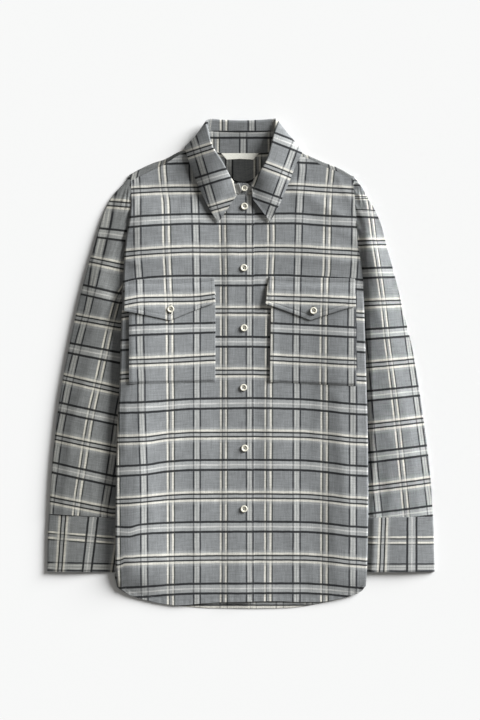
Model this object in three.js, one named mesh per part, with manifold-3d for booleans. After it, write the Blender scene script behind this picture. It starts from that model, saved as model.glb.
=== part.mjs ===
import * as THREE from "three";
import Module from "manifold-3d";

const wasm = await Module();
wasm.setup();

// A flannel shirt lying on its back. X to the viewer's right, Y towards the collar, Z up, z = 0 the surface.
// Cloth
const WALL = 1.5;
const CUFF_WALL = 1.9;
const SEAM_GAP = 0.3;
const LIE_GAP = 0.5;
// Heights between the middles of two walls
const FRONT_OVER_BACK = 2.4;
const PLACKET_STEP = 2.1;
const PATCH_STEP = 2.1;
const SIDE_LIFT = 5.2;
const NECK_LIFT = 1.95;
// Plan sizes
const SIDE_LIFT_WIDTH = 32;
const SIDE_LIFT_FADE = 60;
const PLACKET_FROM = -36.8;
const PLACKET_TO = -16;
const COLUMNS_FRONT = 15;
const BACK_SHOWS = 3.2;
const YOKE_SEAM_Y = 238.4;
const ROLL_RADIUS = 1.3;
const TAPE_WALL = 1;
const BUTTON_DIAMETER = 11.2;
const BUTTON_THICK = 2.6;
const BUTTON_HOLE = 1.9;
const BUTTON_HOLE_SPACING = 2.9;

// Outline of the body: side edges, hems and the top of the fronts
const SIDE_LEFT = [
  { x: -177.6, y: 302.4 },
  { x: -175.7, y: 283.2 },
  { x: -175.5, y: 272 },
  { x: -177.4, y: 235.2 },
  { x: -183.8, y: 198.4 },
  { x: -187.5, y: 142.4 },
  { x: -188.3, y: 118.4 },
  { x: -191.7, y: 52.8 },
  { x: -193.9, y: -33.6 },
  { x: -197.6, y: -105.6 },
  { x: -200, y: -201.6 },
  { x: -200.8, y: -297.6 },
  { x: -198.4, y: -336 },
  { x: -193.8, y: -361.6 },
];
const SIDE_RIGHT = [
  { x: 177.6, y: 302.4 },
  { x: 179.5, y: 283.2 },
  { x: 181.1, y: 272 },
  { x: 183.8, y: 235.2 },
  { x: 185.9, y: 198.4 },
  { x: 194.2, y: 142.4 },
  { x: 195.8, y: 118.4 },
  { x: 197.9, y: 52.8 },
  { x: 200.5, y: -33.6 },
  { x: 202.4, y: -105.6 },
  { x: 203.2, y: -201.6 },
  { x: 202.2, y: -297.6 },
  { x: 200.3, y: -332.8 },
  { x: 198.7, y: -361.6 },
];
// Rows of the body from hem to top, closer at the hem and the underarm
const BODY_ROWS = [
  0, 0.012, 0.03, 0.055, 0.09, 0.14, 0.2, 0.27, 0.34, 0.41, 0.48, 0.55, 0.61, 0.65, 0.68, 0.7, 0.72, 0.74, 0.765,
  0.8, 0.84, 0.88, 0.92, 0.96, 1,
];
const FRONT_HEM = [
  { x: -200, y: -358.7 },
  { x: -193.8, y: -359 },
  { x: -178.2, y: -368.5 },
  { x: -157, y: -375.8 },
  { x: -127.7, y: -382.4 },
  { x: -100.8, y: -385.6 },
  { x: -62.4, y: -382.7 },
  { x: -21.4, y: -380.2 },
  { x: 14.4, y: -379.5 },
  { x: 59.2, y: -379 },
  { x: 96.6, y: -380.3 },
  { x: 126.1, y: -380 },
  { x: 153.8, y: -375.8 },
  { x: 178.2, y: -369.3 },
  { x: 193, y: -361.9 },
  { x: 198.7, y: -354.6 },
  { x: 203.2, y: -352 },
];
const BACK_HEM = [
  { x: -201, y: -353.6 },
  { x: -194.6, y: -359 },
  { x: -178.2, y: -369 },
  { x: -127.7, y: -383 },
  { x: -88.5, y: -387.2 },
  { x: -46.1, y: -389.9 },
  { x: 19.2, y: -390.9 },
  { x: 72, y: -389.8 },
  { x: 113, y: -385 },
  { x: 153.6, y: -376.3 },
  { x: 178.2, y: -369.6 },
  { x: 198.7, y: -355.2 },
  { x: 203.2, y: -352 },
];
const FRONT_TOP_LEFT = [
  { x: -177.6, y: 291.5 },
  { x: -159.4, y: 300.8 },
  { x: -145.6, y: 307.5 },
  { x: -124, y: 317.9 },
  { x: -101.3, y: 332.3 },
  { x: -88, y: 337.8 },
  { x: -75.2, y: 340.3 },
  { x: -65.6, y: 340 },
  { x: -61.6, y: 337.3 },
  { x: -57.6, y: 328.8 },
  { x: -46.4, y: 307.2 },
  { x: -33.6, y: 290.4 },
  { x: -19.2, y: 277.9 },
  { x: -4.8, y: 270.6 },
  { x: 8, y: 269.1 },
  { x: 22.4, y: 269.1 },
];
const FRONT_TOP_RIGHT = [
  { x: -12.8, y: 269.1 },
  { x: 4.8, y: 269.6 },
  { x: 19.2, y: 277.9 },
  { x: 33.6, y: 290.4 },
  { x: 46.4, y: 307.2 },
  { x: 57.6, y: 328.8 },
  { x: 61.6, y: 337.3 },
  { x: 65.6, y: 339.5 },
  { x: 75.2, y: 338.2 },
  { x: 88, y: 335.5 },
  { x: 97.6, y: 331.8 },
  { x: 112.5, y: 326.4 },
  { x: 132.8, y: 315.5 },
  { x: 158.4, y: 305.3 },
  { x: 179.2, y: 294.6 },
];
// Yoke columns: y is the middle of its fold over the shoulder or the neck seam, front how far it runs on down the
// front from there, turn how much of the half turn it makes
const YOKE = [
  { x: -175.5, y: 300.8, front: 8.2, turn: 1 },
  { x: -159.4, y: 310.1, front: 8.8, turn: 1 },
  { x: -136.5, y: 320.6, front: 8.0, turn: 1 },
  { x: -124, y: 324.5, front: 6.1, turn: 1 },
  { x: -101.3, y: 336.3, front: 3.5, turn: 1 },
  { x: -88, y: 341.6, front: 3.3, turn: 1 },
  { x: -75.2, y: 344, front: 3.2, turn: 1 },
  { x: -66.4, y: 343.5, front: 3.0, turn: 1 },
  { x: -62.4, y: 342.1, front: 1.5, turn: 0.85 },
  { x: -58.4, y: 340.5, front: 0.3, turn: 0.45 },
  { x: -54.4, y: 339.4, front: 0, turn: 0.1 },
  { x: -48, y: 338.7, front: 0, turn: 0 },
  { x: -32, y: 337.6, front: 0, turn: 0 },
  { x: 0, y: 336.6, front: 0, turn: 0 },
  { x: 32, y: 337.6, front: 0, turn: 0 },
  { x: 48, y: 338.7, front: 0, turn: 0 },
  { x: 54.4, y: 339.4, front: 0, turn: 0.1 },
  { x: 58.4, y: 340.5, front: 0.3, turn: 0.45 },
  { x: 62.4, y: 342.1, front: 1.5, turn: 0.85 },
  { x: 66.4, y: 343.2, front: 3.0, turn: 1 },
  { x: 75.2, y: 342.1, front: 3.3, turn: 1 },
  { x: 88, y: 339.4, front: 3.3, turn: 1 },
  { x: 97.6, y: 335.7, front: 3.3, turn: 1 },
  { x: 112.5, y: 329.4, front: 2.5, turn: 1 },
  { x: 132.8, y: 320.5, front: 4.5, turn: 1 },
  { x: 158.4, y: 310.2, front: 4.4, turn: 1 },
  { x: 177.3, y: 299.2, front: 3.4, turn: 1 },
];
// Largest soft folds of the fronts: centre, half length along turn (degrees from X), half width, height
const BODY_FOLDS = [
  { x: -110.4, y: 182.4, long: 62, wide: 26, turn: 12, high: 1.6 },
  { x: 113.6, y: 185.6, long: 60, wide: 26, turn: -14, high: 1.8 },
  { x: -129.6, y: 254.4, long: 55, wide: 13, turn: 38, high: 1.3 },
  { x: 129.6, y: 251.2, long: 55, wide: 13, turn: -38, high: 1.3 },
  { x: -110.4, y: 30.4, long: 60, wide: 34, turn: 90, high: 1.5 },
  { x: 113.6, y: 30.4, long: 60, wide: 34, turn: 90, high: 1.6 },
  { x: -160, y: -145.6, long: 120, wide: 12, turn: 86, high: 1.7 },
  { x: -57.6, y: -169.6, long: 130, wide: 22, turn: 93, high: 1.2 },
  { x: 57.6, y: -145.6, long: 120, wide: 20, turn: 88, high: 1.4 },
  { x: 163.2, y: -169.6, long: 130, wide: 14, turn: 94, high: 1.9 },
  { x: -14.4, y: 166.4, long: 55, wide: 14, turn: 90, high: 0.9 },
];
// Sleeves: outer edge, inner edge (tucked under the body further down) and the puff of the upper wall
const SLEEVE_LEFT = [
  { oX: -177.8, oY: 302.7, iX: -191, iY: 129.6, puff: 0 },
  { oX: -191.2, oY: 291.5, iX: -191.7, iY: 120, puff: 1.6 },
  { oX: -206.7, oY: 277.9, iX: -191, iY: 110.4, puff: 3.0 },
  { oX: -217.9, oY: 256, iX: -189.8, iY: 99.2, puff: 4.0 },
  { oX: -227.4, oY: 227.2, iX: -186.7, iY: 86.4, puff: 4.6 },
  { oX: -236.2, oY: 191.2, iX: -183.2, iY: 70.4, puff: 4.9 },
  { oX: -247, oY: 148.8, iX: -177.6, iY: 48, puff: 5.0 },
  { oX: -261.4, oY: 92.8, iX: -172.8, iY: 11.2, puff: 5.0 },
  { oX: -276.2, oY: 24, iX: -170.4, iY: -41.6, puff: 4.8 },
  { oX: -289.6, oY: -49.6, iX: -174.4, iY: -97.6, puff: 4.6 },
  { oX: -297.8, oY: -115.2, iX: -179.2, iY: -152, puff: 4.2 },
  { oX: -303.7, oY: -179.2, iX: -184, iY: -201.6, puff: 3.6 },
  { oX: -306.9, oY: -239, iX: -187.2, iY: -246.7, puff: 2.4 },
];
const SLEEVE_RIGHT = [
  { oX: 177.9, oY: 301.1, iX: 197.6, iY: 129.6, puff: 0 },
  { oX: 191, oY: 285.8, iX: 197.8, iY: 120, puff: 1.6 },
  { oX: 201.9, oY: 267.2, iX: 197.1, iY: 110.4, puff: 3.0 },
  { oX: 213.1, oY: 247.7, iX: 196.2, iY: 99.2, puff: 4.0 },
  { oX: 224.6, oY: 220.8, iX: 193.1, iY: 86.4, puff: 4.6 },
  { oX: 233.3, oY: 187.2, iX: 189.6, iY: 70.4, puff: 4.9 },
  { oX: 244.3, oY: 147.2, iX: 184, iY: 48, puff: 5.0 },
  { oX: 258.2, oY: 91.2, iX: 179.2, iY: 11.2, puff: 5.0 },
  { oX: 274.1, oY: 24, iX: 176.8, iY: -41.6, puff: 4.8 },
  { oX: 286.9, oY: -52.8, iX: 180.8, iY: -97.6, puff: 4.6 },
  { oX: 296, oY: -116.8, iX: 184, iY: -152, puff: 4.2 },
  { oX: 303, oY: -179.2, iX: 188, iY: -201.6, puff: 3.6 },
  { oX: 307, oY: -243.5, iX: 190.4, iY: -245.1, puff: 2.4 },
];
const CUFF_LEFT = [
  { oX: -307.4, oY: -240.3, iX: -187.2, iY: -248, puff: 1.6 },
  { oX: -309, oY: -270.4, iX: -187.2, iY: -276, puff: 1.9 },
  { oX: -309.6, oY: -302.4, iX: -187.5, iY: -305.6, puff: 1.9 },
  { oX: -309.8, oY: -331.2, iX: -188.2, iY: -332.8, puff: 1.5 },
];
const CUFF_RIGHT = [
  { oX: 307.5, oY: -244.6, iX: 190.4, iY: -246.2, puff: 1.6 },
  { oX: 308.6, oY: -270.4, iX: 190.7, iY: -272.8, puff: 1.9 },
  { oX: 309.4, oY: -302.4, iX: 191, iY: -303.2, puff: 1.9 },
  { oX: 309.9, oY: -331.5, iX: 191.4, iY: -332.2, puff: 1.5 },
];
// Collar sections round the neck from the viewer's left: foot at the neck seam, roll line, middle and edge of the
// leaf. lean turns the roll (0 leaf above the stand, 180 below it), rise is the leaf's height from seam to roll
const COLLAR = [
  { fX: -1.9, fY: 271, fZ: 5.3, rX: -12.2, rY: 291.5, rZ: 9.6, lean: 0, rise: 2, mX: -7.7, mY: 268.2, mZ: 10.4, eX: -35.8, eY: 226.9, eZ: 8.2 },
  { fX: -16.2, fY: 277.9, fZ: 5.3, rX: -18.9, rY: 302.4, rZ: 11.0, lean: 0, rise: 3, mX: -26.2, mY: 272, mZ: 10.6, eX: -45.8, eY: 240, eZ: 7.4 },
  { fX: -30.6, fY: 289.3, fZ: 3.8, rX: -29.4, rY: 322.2, rZ: 11.9, lean: 0, rise: 4.5, mX: -44.2, mY: 293.4, mZ: 10.0, eX: -60.2, eY: 267.5, eZ: 6.4 },
  { fX: -43.4, fY: 305.8, fZ: 4.1, rX: -42.2, rY: 341.4, rZ: 12.1, lean: 0, rise: 6.5, mX: -58.2, mY: 316.8, mZ: 10.2, eX: -73.3, eY: 297, eZ: 6.4 },
  { fX: -53.4, fY: 325.1, fZ: 5.0, rX: -48, rY: 354.9, rZ: 11.8, lean: 8, rise: 8.5, mX: -64.6, mY: 335, mZ: 10.6, eX: -81, eY: 318.1, eZ: 7.8 },
  { fX: -57.9, fY: 335, fZ: 5.0, rX: -51.8, rY: 371.8, rZ: 10.0, lean: 40, rise: 11, mX: -69.8, mY: 351.4, mZ: 9.6, eX: -86.7, eY: 335.7, eZ: 8.2 },
  { fX: -55.7, fY: 341, fZ: 3.9, rX: -54.1, rY: 385.9, rZ: 6.2, lean: 95, rise: 15, mX: -71.4, mY: 364.5, mZ: 5.0, eX: -89, eY: 346.9, eZ: 3.9 },
  { fX: -52.8, fY: 339.7, fZ: 3.0, rX: -47, rY: 390.6, rZ: 3.1, lean: 160, rise: 17, mX: -58.6, mY: 368.6, mZ: 1.5, eX: -71, eY: 348.5, eZ: 1.4 },
  { fX: -40, fY: 338.7, fZ: 2.7, rX: -29.4, rY: 389.6, rZ: 2.1, lean: 180, rise: 17.5, mX: -34.2, mY: 360, mZ: 0.8, eX: -39, eY: 331.2, eZ: 0.8 },
  { fX: 0, fY: 337.1, fZ: 2.7, rX: 1.6, rY: 388.5, rZ: 2.1, lean: 180, rise: 17, mX: 0.8, mY: 358.4, mZ: 0.8, eX: 0, eY: 329, eZ: 0.8 },
  { fX: 40, fY: 338.7, fZ: 2.7, rX: 32.6, rY: 389.6, rZ: 2.1, lean: 180, rise: 17.5, mX: 35.8, mY: 360, mZ: 0.8, eX: 39, eY: 331.2, eZ: 0.8 },
  { fX: 52.8, fY: 339.7, fZ: 3.0, rX: 48.6, rY: 390.6, rZ: 3.1, lean: 200, rise: 17, mX: 61.1, mY: 368.6, mZ: 1.5, eX: 73, eY: 348.2, eZ: 1.4 },
  { fX: 54.9, fY: 341.3, fZ: 3.9, rX: 54.7, rY: 388.8, rZ: 6.2, lean: 265, rise: 15, mX: 75.5, mY: 366.1, mZ: 5.0, eX: 95.7, eY: 343, eZ: 3.9 },
  { fX: 57.9, fY: 335, fZ: 5.0, rX: 52.5, rY: 370.2, rZ: 10.0, lean: 320, rise: 11, mX: 74.2, mY: 350.7, mZ: 9.6, eX: 96.3, eY: 334.4, eZ: 8.2 },
  { fX: 53.4, fY: 325.1, fZ: 5.0, rX: 48.5, rY: 351.4, rZ: 11.8, lean: 352, rise: 8.5, mX: 68.2, mY: 334.4, mZ: 10.6, eX: 88.3, eY: 320.6, eZ: 7.8 },
  { fX: 43.4, fY: 305.8, fZ: 4.1, rX: 41, rY: 325.8, rZ: 11.6, lean: 360, rise: 6.5, mX: 61.4, mY: 307.8, mZ: 10.2, eX: 79, eY: 296.6, eZ: 6.4 },
  { fX: 30.6, fY: 289.3, fZ: 3.3, rX: 29.1, rY: 305.6, rZ: 10.8, lean: 360, rise: 4, mX: 48, mY: 282.6, mZ: 9.6, eX: 66.2, eY: 265.6, eZ: 6.2 },
  { fX: 19.7, fY: 279.7, fZ: 3.2, rX: 20.6, rY: 294.7, rZ: 9.6, lean: 360, rise: 2, mX: 32, mY: 265.6, mZ: 9.4, eX: 56.3, eY: 245.4, eZ: 6.4 },
  { fX: 13.8, fY: 275.2, fZ: 3.2, rX: 16.6, rY: 287, rZ: 8.8, lean: 360, rise: 1.5, mX: 18.9, mY: 263.4, mZ: 9.2, eX: 46.4, eY: 227.8, eZ: 6.8 },
];
// The stand runs on past the leaf on the button side
const STAND_TAB = [
  { fX: 7, fY: 272.2, fZ: 3.2, tX: 8.3, tY: 287.7, tZ: 4.8 },
  { fX: -4.2, fY: 270.1, fZ: 3.2, tX: -1.9, tY: 288, tZ: 4.0 },
];
// Patches on the fronts: corners from the top left, and the drop of the lower edge's point
const POCKETS = [
  { name: "pocket_right", aX: -177.9, aY: 118.4, bX: -41.3, bY: 118.4, cX: -177.6, cY: -31.4, dX: -41.3, dY: -28.5, point: 0 },
  { name: "pocket_left", aX: 48.6, aY: 118.4, bX: 183, bY: 118.4, cX: 46.2, cY: -28.8, dX: 183.4, dY: -34.9, point: 0 },
];
const FLAPS = [
  { name: "flap_right", aX: -184.6, aY: 133.4, bX: -43.2, bY: 137.6, cX: -185, cY: 84.2, dX: -41.3, dY: 97.9, point: 21.4 },
  { name: "flap_left", aX: 44.5, aY: 139.2, bX: 181.8, bY: 136, cX: 39.4, cY: 96, dX: 182.1, dY: 92.2, point: 24 },
];
const NECK_LABEL = { aX: -31.2, aY: 336.6, bX: 28.3, bY: 336.6, cX: -22.9, cY: 326.7, dX: 19.5, dY: 326.7 };
const BUTTONS = [
  { name: "button_collar", x: 5.8, y: 281, on: "stand" },
  { name: "button_1", x: 5.3, y: 251.8, on: "front" },
  { name: "button_2", x: 4.6, y: 153.6, on: "front" },
  { name: "button_3", x: 4.8, y: 57.6, on: "front" },
  { name: "button_4", x: 4, y: -37.6, on: "front" },
  { name: "button_5", x: 5.9, y: -134.4, on: "front" },
  { name: "button_6", x: 4.8, y: -231.4, on: "front" },
  { name: "button_flap_right", x: -112, y: 87.4, on: "flap" },
  { name: "button_flap_left", x: 115.5, y: 85.1, on: "flap" },
];

const mix = (a, b, t) => a + (b - a) * t;
const clamp01 = (v) => Math.min(1, Math.max(0, v));
const ramp = (from, to, v) => {
  const t = clamp01((v - from) / (to - from));
  return t * t * (3 - 2 * t);
};

// Value of column out at column key = at, along a table, as a smooth curve with no overshoot
function along(table, key, out, at) {
  const rows = table[0][key] < table[table.length - 1][key] ? table : [...table].reverse();
  const n = rows.length;
  if (at <= rows[0][key]) return rows[0][out];
  if (at >= rows[n - 1][key]) return rows[n - 1][out];
  let i = 0;
  while (rows[i + 1][key] < at) i += 1;
  const slope = (k) => (rows[k + 1][out] - rows[k][out]) / (rows[k + 1][key] - rows[k][key]);
  const tangent = (k) => {
    if (k === 0) return slope(0);
    if (k === n - 1) return slope(n - 2);
    const [before, after] = [slope(k - 1), slope(k)];
    return before * after <= 0 ? 0 : (2 * before * after) / (before + after);
  };
  const h = rows[i + 1][key] - rows[i][key];
  const t = (at - rows[i][key]) / h;
  const [p, q] = [rows[i][out], rows[i + 1][out]];
  const [mp, mq] = [tangent(i) * h, tangent(i + 1) * h];
  return (2 * t ** 3 - 3 * t ** 2 + 1) * p + (t ** 3 - 2 * t ** 2 + t) * mp
    + (3 * t ** 2 - 2 * t ** 3) * q + (t ** 3 - t ** 2) * mq;
}

// All columns of a table at a row number that may lie between rows, as a smooth curve through the rows
function between(table, row) {
  const n = table.length;
  const i = Math.min(n - 2, Math.floor(row));
  const t = row - i;
  const at = (k) => table[Math.min(n - 1, Math.max(0, k))];
  const out = {};
  for (const key of Object.keys(table[0])) {
    const [p0, p1, p2, p3] = [at(i - 1)[key], at(i)[key], at(i + 1)[key], at(i + 2)[key]];
    out[key] = p1 + 0.5 * t * (p2 - p0 + t * (2 * p0 - 5 * p1 + 4 * p2 - p3 + t * (3 * (p1 - p2) + p3 - p0)));
  }
  return out;
}

const sideOf = (hand, y) => along(hand < 0 ? SIDE_LEFT : SIDE_RIGHT, "y", "x", y);

// Below the underarm the fronts roll round the side to meet the back
const sideRoll = (y) => ramp(-329.6, -310.4, y) * (1 - ramp(108.8, 131.2, y));

// How far the body is raised where it lies over a tucked sleeve
function overSleeve(x, y) {
  const inside = Math.min(x - sideOf(-1, y), sideOf(1, y) - x);
  const across = 1 - ramp(SIDE_LIFT_WIDTH, SIDE_LIFT_WIDTH + SIDE_LIFT_FADE, inside);
  const down = 1 - ramp(88, 129.6, y);
  const hem = ramp(-380.8, -339.2, y);
  return SIDE_LIFT * across * down * hem;
}

// and where it lies over the back of the collar leaf
function overLeaf(x, y) {
  const across = 1 - ramp(89.6, 112, Math.abs(x));
  return NECK_LIFT * across * ramp(294.4, 320, y);
}

const backZ = (x, y) => WALL / 2 + overSleeve(x, y) + overLeaf(x, y);

function folds(x, y) {
  let z = 0;
  for (const f of BODY_FOLDS) {
    const a = (f.turn * Math.PI) / 180;
    const [dx, dy] = [x - f.x, y - f.y];
    const p = (dx * Math.cos(a) + dy * Math.sin(a)) / f.long;
    const q = (dy * Math.cos(a) - dx * Math.sin(a)) / f.wide;
    z += f.high * Math.exp(-p * p - q * q);
  }
  return z;
}

function frontZ(x, y) {
  const inside = Math.min(x - sideOf(-1, y), sideOf(1, y) - x);
  const fromHem = y - along(FRONT_HEM, "x", "y", x);
  const fromTop = along(x < 0 ? FRONT_TOP_LEFT : FRONT_TOP_RIGHT, "x", "y", x) - y;
  const free = ramp(0, 22, inside) * ramp(0, 40, fromHem) * ramp(0, 16, fromTop);
  return backZ(x, y) + FRONT_OVER_BACK + folds(x, y) * free;
}

const topFrontZ = (x, y) => frontZ(x, y) + PLACKET_STEP * ramp(PLACKET_FROM, PLACKET_TO, x);
const panelZ = (x, y) => (x < 20.8 ? topFrontZ(x, y) : frontZ(x, y));

// A closed wall of even thickness on the two sides of a grid of points; ring joins each row's end to its start
function wallOn(rows, wall, ring = false) {
  const m = rows.length;
  const n = rows[0].length;
  const point = (i, j) => new THREE.Vector3(...rows[i][j]);
  const wrap = (j) => (ring ? (j + n) % n : Math.min(n - 1, Math.max(0, j)));
  const sides = [[], []];
  for (let i = 0; i < m; i += 1) {
    for (let j = 0; j < n; j += 1) {
      const down = point(Math.min(m - 1, i + 1), j).sub(point(Math.max(0, i - 1), j));
      const across = point(i, wrap(j + 1)).sub(point(i, wrap(j - 1)));
      const normal = across.cross(down).normalize().multiplyScalar(wall / 2);
      sides[0].push(point(i, j).add(normal));
      sides[1].push(point(i, j).sub(normal));
    }
  }
  const index = [];
  const id = (side, i, j) => side * m * n + i * n + wrap(j);
  const quad = (a, b, c, d) => index.push(a, b, c, a, c, d);
  const lastJ = ring ? n : n - 1;
  for (let i = 0; i < m - 1; i += 1) {
    for (let j = 0; j < lastJ; j += 1) {
      quad(id(0, i, j), id(0, i, j + 1), id(0, i + 1, j + 1), id(0, i + 1, j));
      quad(id(1, i, j), id(1, i + 1, j), id(1, i + 1, j + 1), id(1, i, j + 1));
    }
  }
  for (let j = 0; j < lastJ; j += 1) {
    quad(id(0, 0, j), id(1, 0, j), id(1, 0, j + 1), id(0, 0, j + 1));
    quad(id(0, m - 1, j), id(0, m - 1, j + 1), id(1, m - 1, j + 1), id(1, m - 1, j));
  }
  if (!ring) {
    for (let i = 0; i < m - 1; i += 1) {
      quad(id(0, i, 0), id(0, i + 1, 0), id(1, i + 1, 0), id(1, i, 0));
      quad(id(0, i, n - 1), id(1, i, n - 1), id(1, i + 1, n - 1), id(0, i + 1, n - 1));
    }
  }
  return solid([...sides[0], ...sides[1]], index);
}

// A geometry with its faces turned outward
function solid(points, index) {
  let volume = 0;
  for (let k = 0; k < index.length; k += 3) {
    const [a, b, c] = [points[index[k]], points[index[k + 1]], points[index[k + 2]]];
    volume += a.dot(new THREE.Vector3().crossVectors(b, c));
  }
  const turned = [...index];
  if (volume < 0) {
    for (let k = 0; k < turned.length; k += 3) [turned[k + 1], turned[k + 2]] = [turned[k + 2], turned[k + 1]];
  }
  const geometry = new THREE.BufferGeometry();
  geometry.setAttribute("position", new THREE.Float32BufferAttribute(points.flatMap((p) => [p.x, p.y, p.z]), 3));
  geometry.setIndex(turned);
  geometry.computeVertexNormals();
  return geometry;
}

const steps = (count, from = 0, to = 1) => Array.from({ length: count + 1 }, (_, k) => mix(from, to, k / count));

// A front from its centre edge to the side, its last columns rolled round to the back
function front(hand, centreX, topTable, height) {
  const roll = FRONT_OVER_BACK;
  const inset = (y) => mix(SEAM_GAP / 2, WALL / 2, sideRoll(y));
  const baseX = (y) => sideOf(hand, y) - hand * (inset(y) + roll);
  const columns = steps(COLUMNS_FRONT).map((u) => ({ u, turn: 0 }));
  for (const degrees of [30, 60, 90]) columns.push({ u: 1, turn: (degrees * Math.PI) / 180 });
  const xAt = (c, y) => mix(centreX, baseX(y), c.u) + hand * roll * Math.sin(c.turn);
  const endY = (c, table, start) => {
    let y = start;
    for (let k = 0; k < 8; k += 1) y = mix(y, along(table, "x", "y", xAt(c, y)), 0.7);
    return y;
  };
  return BODY_ROWS.map((v) => columns.map((c) => {
    const y = mix(endY(c, FRONT_HEM, -369.6), endY(c, topTable, 297.6), v);
    const x = xAt(c, y);
    return [x, y, height(x, y) - sideRoll(y) * roll * (1 - Math.cos(c.turn))];
  }));
}

function back() {
  const inset = WALL + 2 * SEAM_GAP;
  const left = (y) => sideOf(-1, y) + mix(SEAM_GAP / 2, inset, sideRoll(y)) - BACK_SHOWS * (1 - ramp(-339.2, -323.2, y));
  const right = (y) => sideOf(1, y) - mix(SEAM_GAP / 2, inset, sideRoll(y));
  const top = YOKE_SEAM_Y - SEAM_GAP / 2;
  const rows = BODY_ROWS.filter((v) => v < 0.93).map((v) => Math.min(1, v / 0.92));
  return rows.map((v) => steps(16).map((u) => {
    let y = -369.6;
    for (let k = 0; k < 8; k += 1) y = mix(y, along(BACK_HEM, "x", "y", mix(left(y), right(y), u)), 0.7);
    y = mix(y, top, v);
    const x = mix(left(y), right(y), u);
    return [x, y, backZ(x, y)];
  }));
}

// The yoke runs from its back seam to the neck, and over each shoulder to a seam on the front
function yoke() {
  const reach = [0, 2, 3.4, 4.6, 5.8, 7, 8.2, 9.6, 11.5, 15, 24, 44, 74, 110];
  const [first, last] = [YOKE[0].x, YOKE[YOKE.length - 1].x];
  const toArmhole = (x, y) => {
    const left = sideOf(-1, y) + SEAM_GAP / 2 - first;
    const right = sideOf(1, y) - SEAM_GAP / 2 - last;
    return x + left * (1 - clamp01((x - first) / 60)) + right * (1 - clamp01((last - x) / 60));
  };
  const columns = [];
  for (let k = 0; k < YOKE.length - 1; k += 1) {
    const wide = YOKE[k + 1].x - YOKE[k].x;
    const count = wide > 20 ? 2 : 1;
    for (let j = 0; j < count; j += 1) columns.push(mix(YOKE[k].x, YOKE[k + 1].x, j / count));
  }
  columns.push(YOKE[YOKE.length - 1].x);
  const radius = FRONT_OVER_BACK / 2;
  return columns.map((x) => {
    const centreY = along(YOKE, "x", "y", x);
    const frontRun = along(YOKE, "x", "front", x);
    const turn = along(YOKE, "x", "turn", x) * Math.PI;
    const end = YOKE_SEAM_Y + SEAM_GAP / 2;
    const total = frontRun + radius * turn + (centreY - end);
    return reach.map((r) => {
      const d = (r / reach[reach.length - 1]) * total;
      const fold = d - frontRun;
      if (fold < 0) {
        const y = centreY + fold;
        return [toArmhole(x, y), y, backZ(x, y) + radius * (1 - Math.cos(turn))];
      }
      if (fold < radius * turn) {
        const a = turn - fold / radius;
        const y = centreY + radius * Math.sin(a);
        return [toArmhole(x, y), y, backZ(x, centreY) + radius * (1 - Math.cos(a))];
      }
      const y = centreY - (fold - radius * turn);
      return [toArmhole(x, y), y, backZ(x, y)];
    });
  });
}

// A flattened tube through the rows of a table: round at both edges, its upper wall puffed. A sleeve's first
// ring follows the armhole
function tube(table, wall, rise, rowCount, armhole) {
  const arc = [-60, -20, 20, 60].map((d) => (d * Math.PI) / 180);
  const radius = rise / 2;
  const first = table[0];
  const hand = Math.sign(first.oX);
  const bow = (y) => {
    const straight = mix(first.oX, first.iX, clamp01((y - first.oY) / (first.iY - first.oY)));
    return sideOf(hand, y) + hand * 2 * SEAM_GAP - straight;
  };
  return steps(rowCount, 0, table.length - 1).map((row) => {
    const r = between(table, row);
    const outer = new THREE.Vector2(r.oX, r.oY);
    const inner = new THREE.Vector2(r.iX, r.iY);
    const dir = inner.clone().sub(outer).normalize();
    const follow = armhole ? Math.max(0, 1 - row / 2) : 0;
    const at = (c, out, z) => {
      const p = outer.clone().lerp(inner, c).addScaledVector(dir, out);
      return [p.x + bow(p.y) * follow, p.y, z];
    };
    const inset = (radius + wall / 2) / outer.distanceTo(inner);
    const flat = steps(6, inset, 1 - inset);
    const points = [];
    for (const c of flat) {
      const puff = r.puff * Math.sin(Math.PI * Math.min(1, c / 0.74)) ** 1.5;
      points.push(at(c, 0, wall / 2 + rise + puff));
    }
    for (const a of arc) points.push(at(1 - inset, radius * Math.cos(a), wall / 2 + radius - radius * Math.sin(a)));
    for (const c of [...flat].reverse()) points.push(at(c, 0, wall / 2));
    for (const a of [...arc].reverse()) {
      points.push(at(inset, -radius * Math.cos(a), wall / 2 + radius - radius * Math.sin(a)));
    }
    return points;
  });
}

// One section of the collar: the line from the foot to the roll's inner side, the roll, and the leaf's fall
function collarSection(row) {
  const s = between(COLLAR, row);
  const foot = new THREE.Vector3(s.fX, s.fY, s.fZ);
  const middle = new THREE.Vector3(s.mX, s.mY, s.mZ);
  const edge = new THREE.Vector3(s.eX, s.eY, s.eZ);
  const out = new THREE.Vector3(s.rX - s.mX, s.rY - s.mY, 0).normalize();
  const lean = (s.lean * Math.PI) / 180;
  const over = new THREE.Vector3(-out.y * Math.sin(lean), out.x * Math.sin(lean), Math.cos(lean));
  const centre = new THREE.Vector3(s.rX, s.rY, s.rZ).addScaledVector(out, -ROLL_RADIUS - WALL / 2);
  const inner = centre.clone().addScaledVector(over, -ROLL_RADIUS);
  const seam = inner.clone().lerp(foot, s.rise / inner.distanceTo(foot));
  const top = inner.clone().lerp(foot, (s.rise + 2.8 * SEAM_GAP) / inner.distanceTo(foot));
  const turned = [-60, -20, 20, 60].map((d) => (d * Math.PI) / 180).map((a) => centre.clone()
    .addScaledVector(out, ROLL_RADIUS * Math.cos(a)).addScaledVector(over, ROLL_RADIUS * Math.sin(a)));
  return { foot, top, seam, turned, middle, edge, inner };
}

const triple = (p) => [p.x, p.y, p.z];

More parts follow.
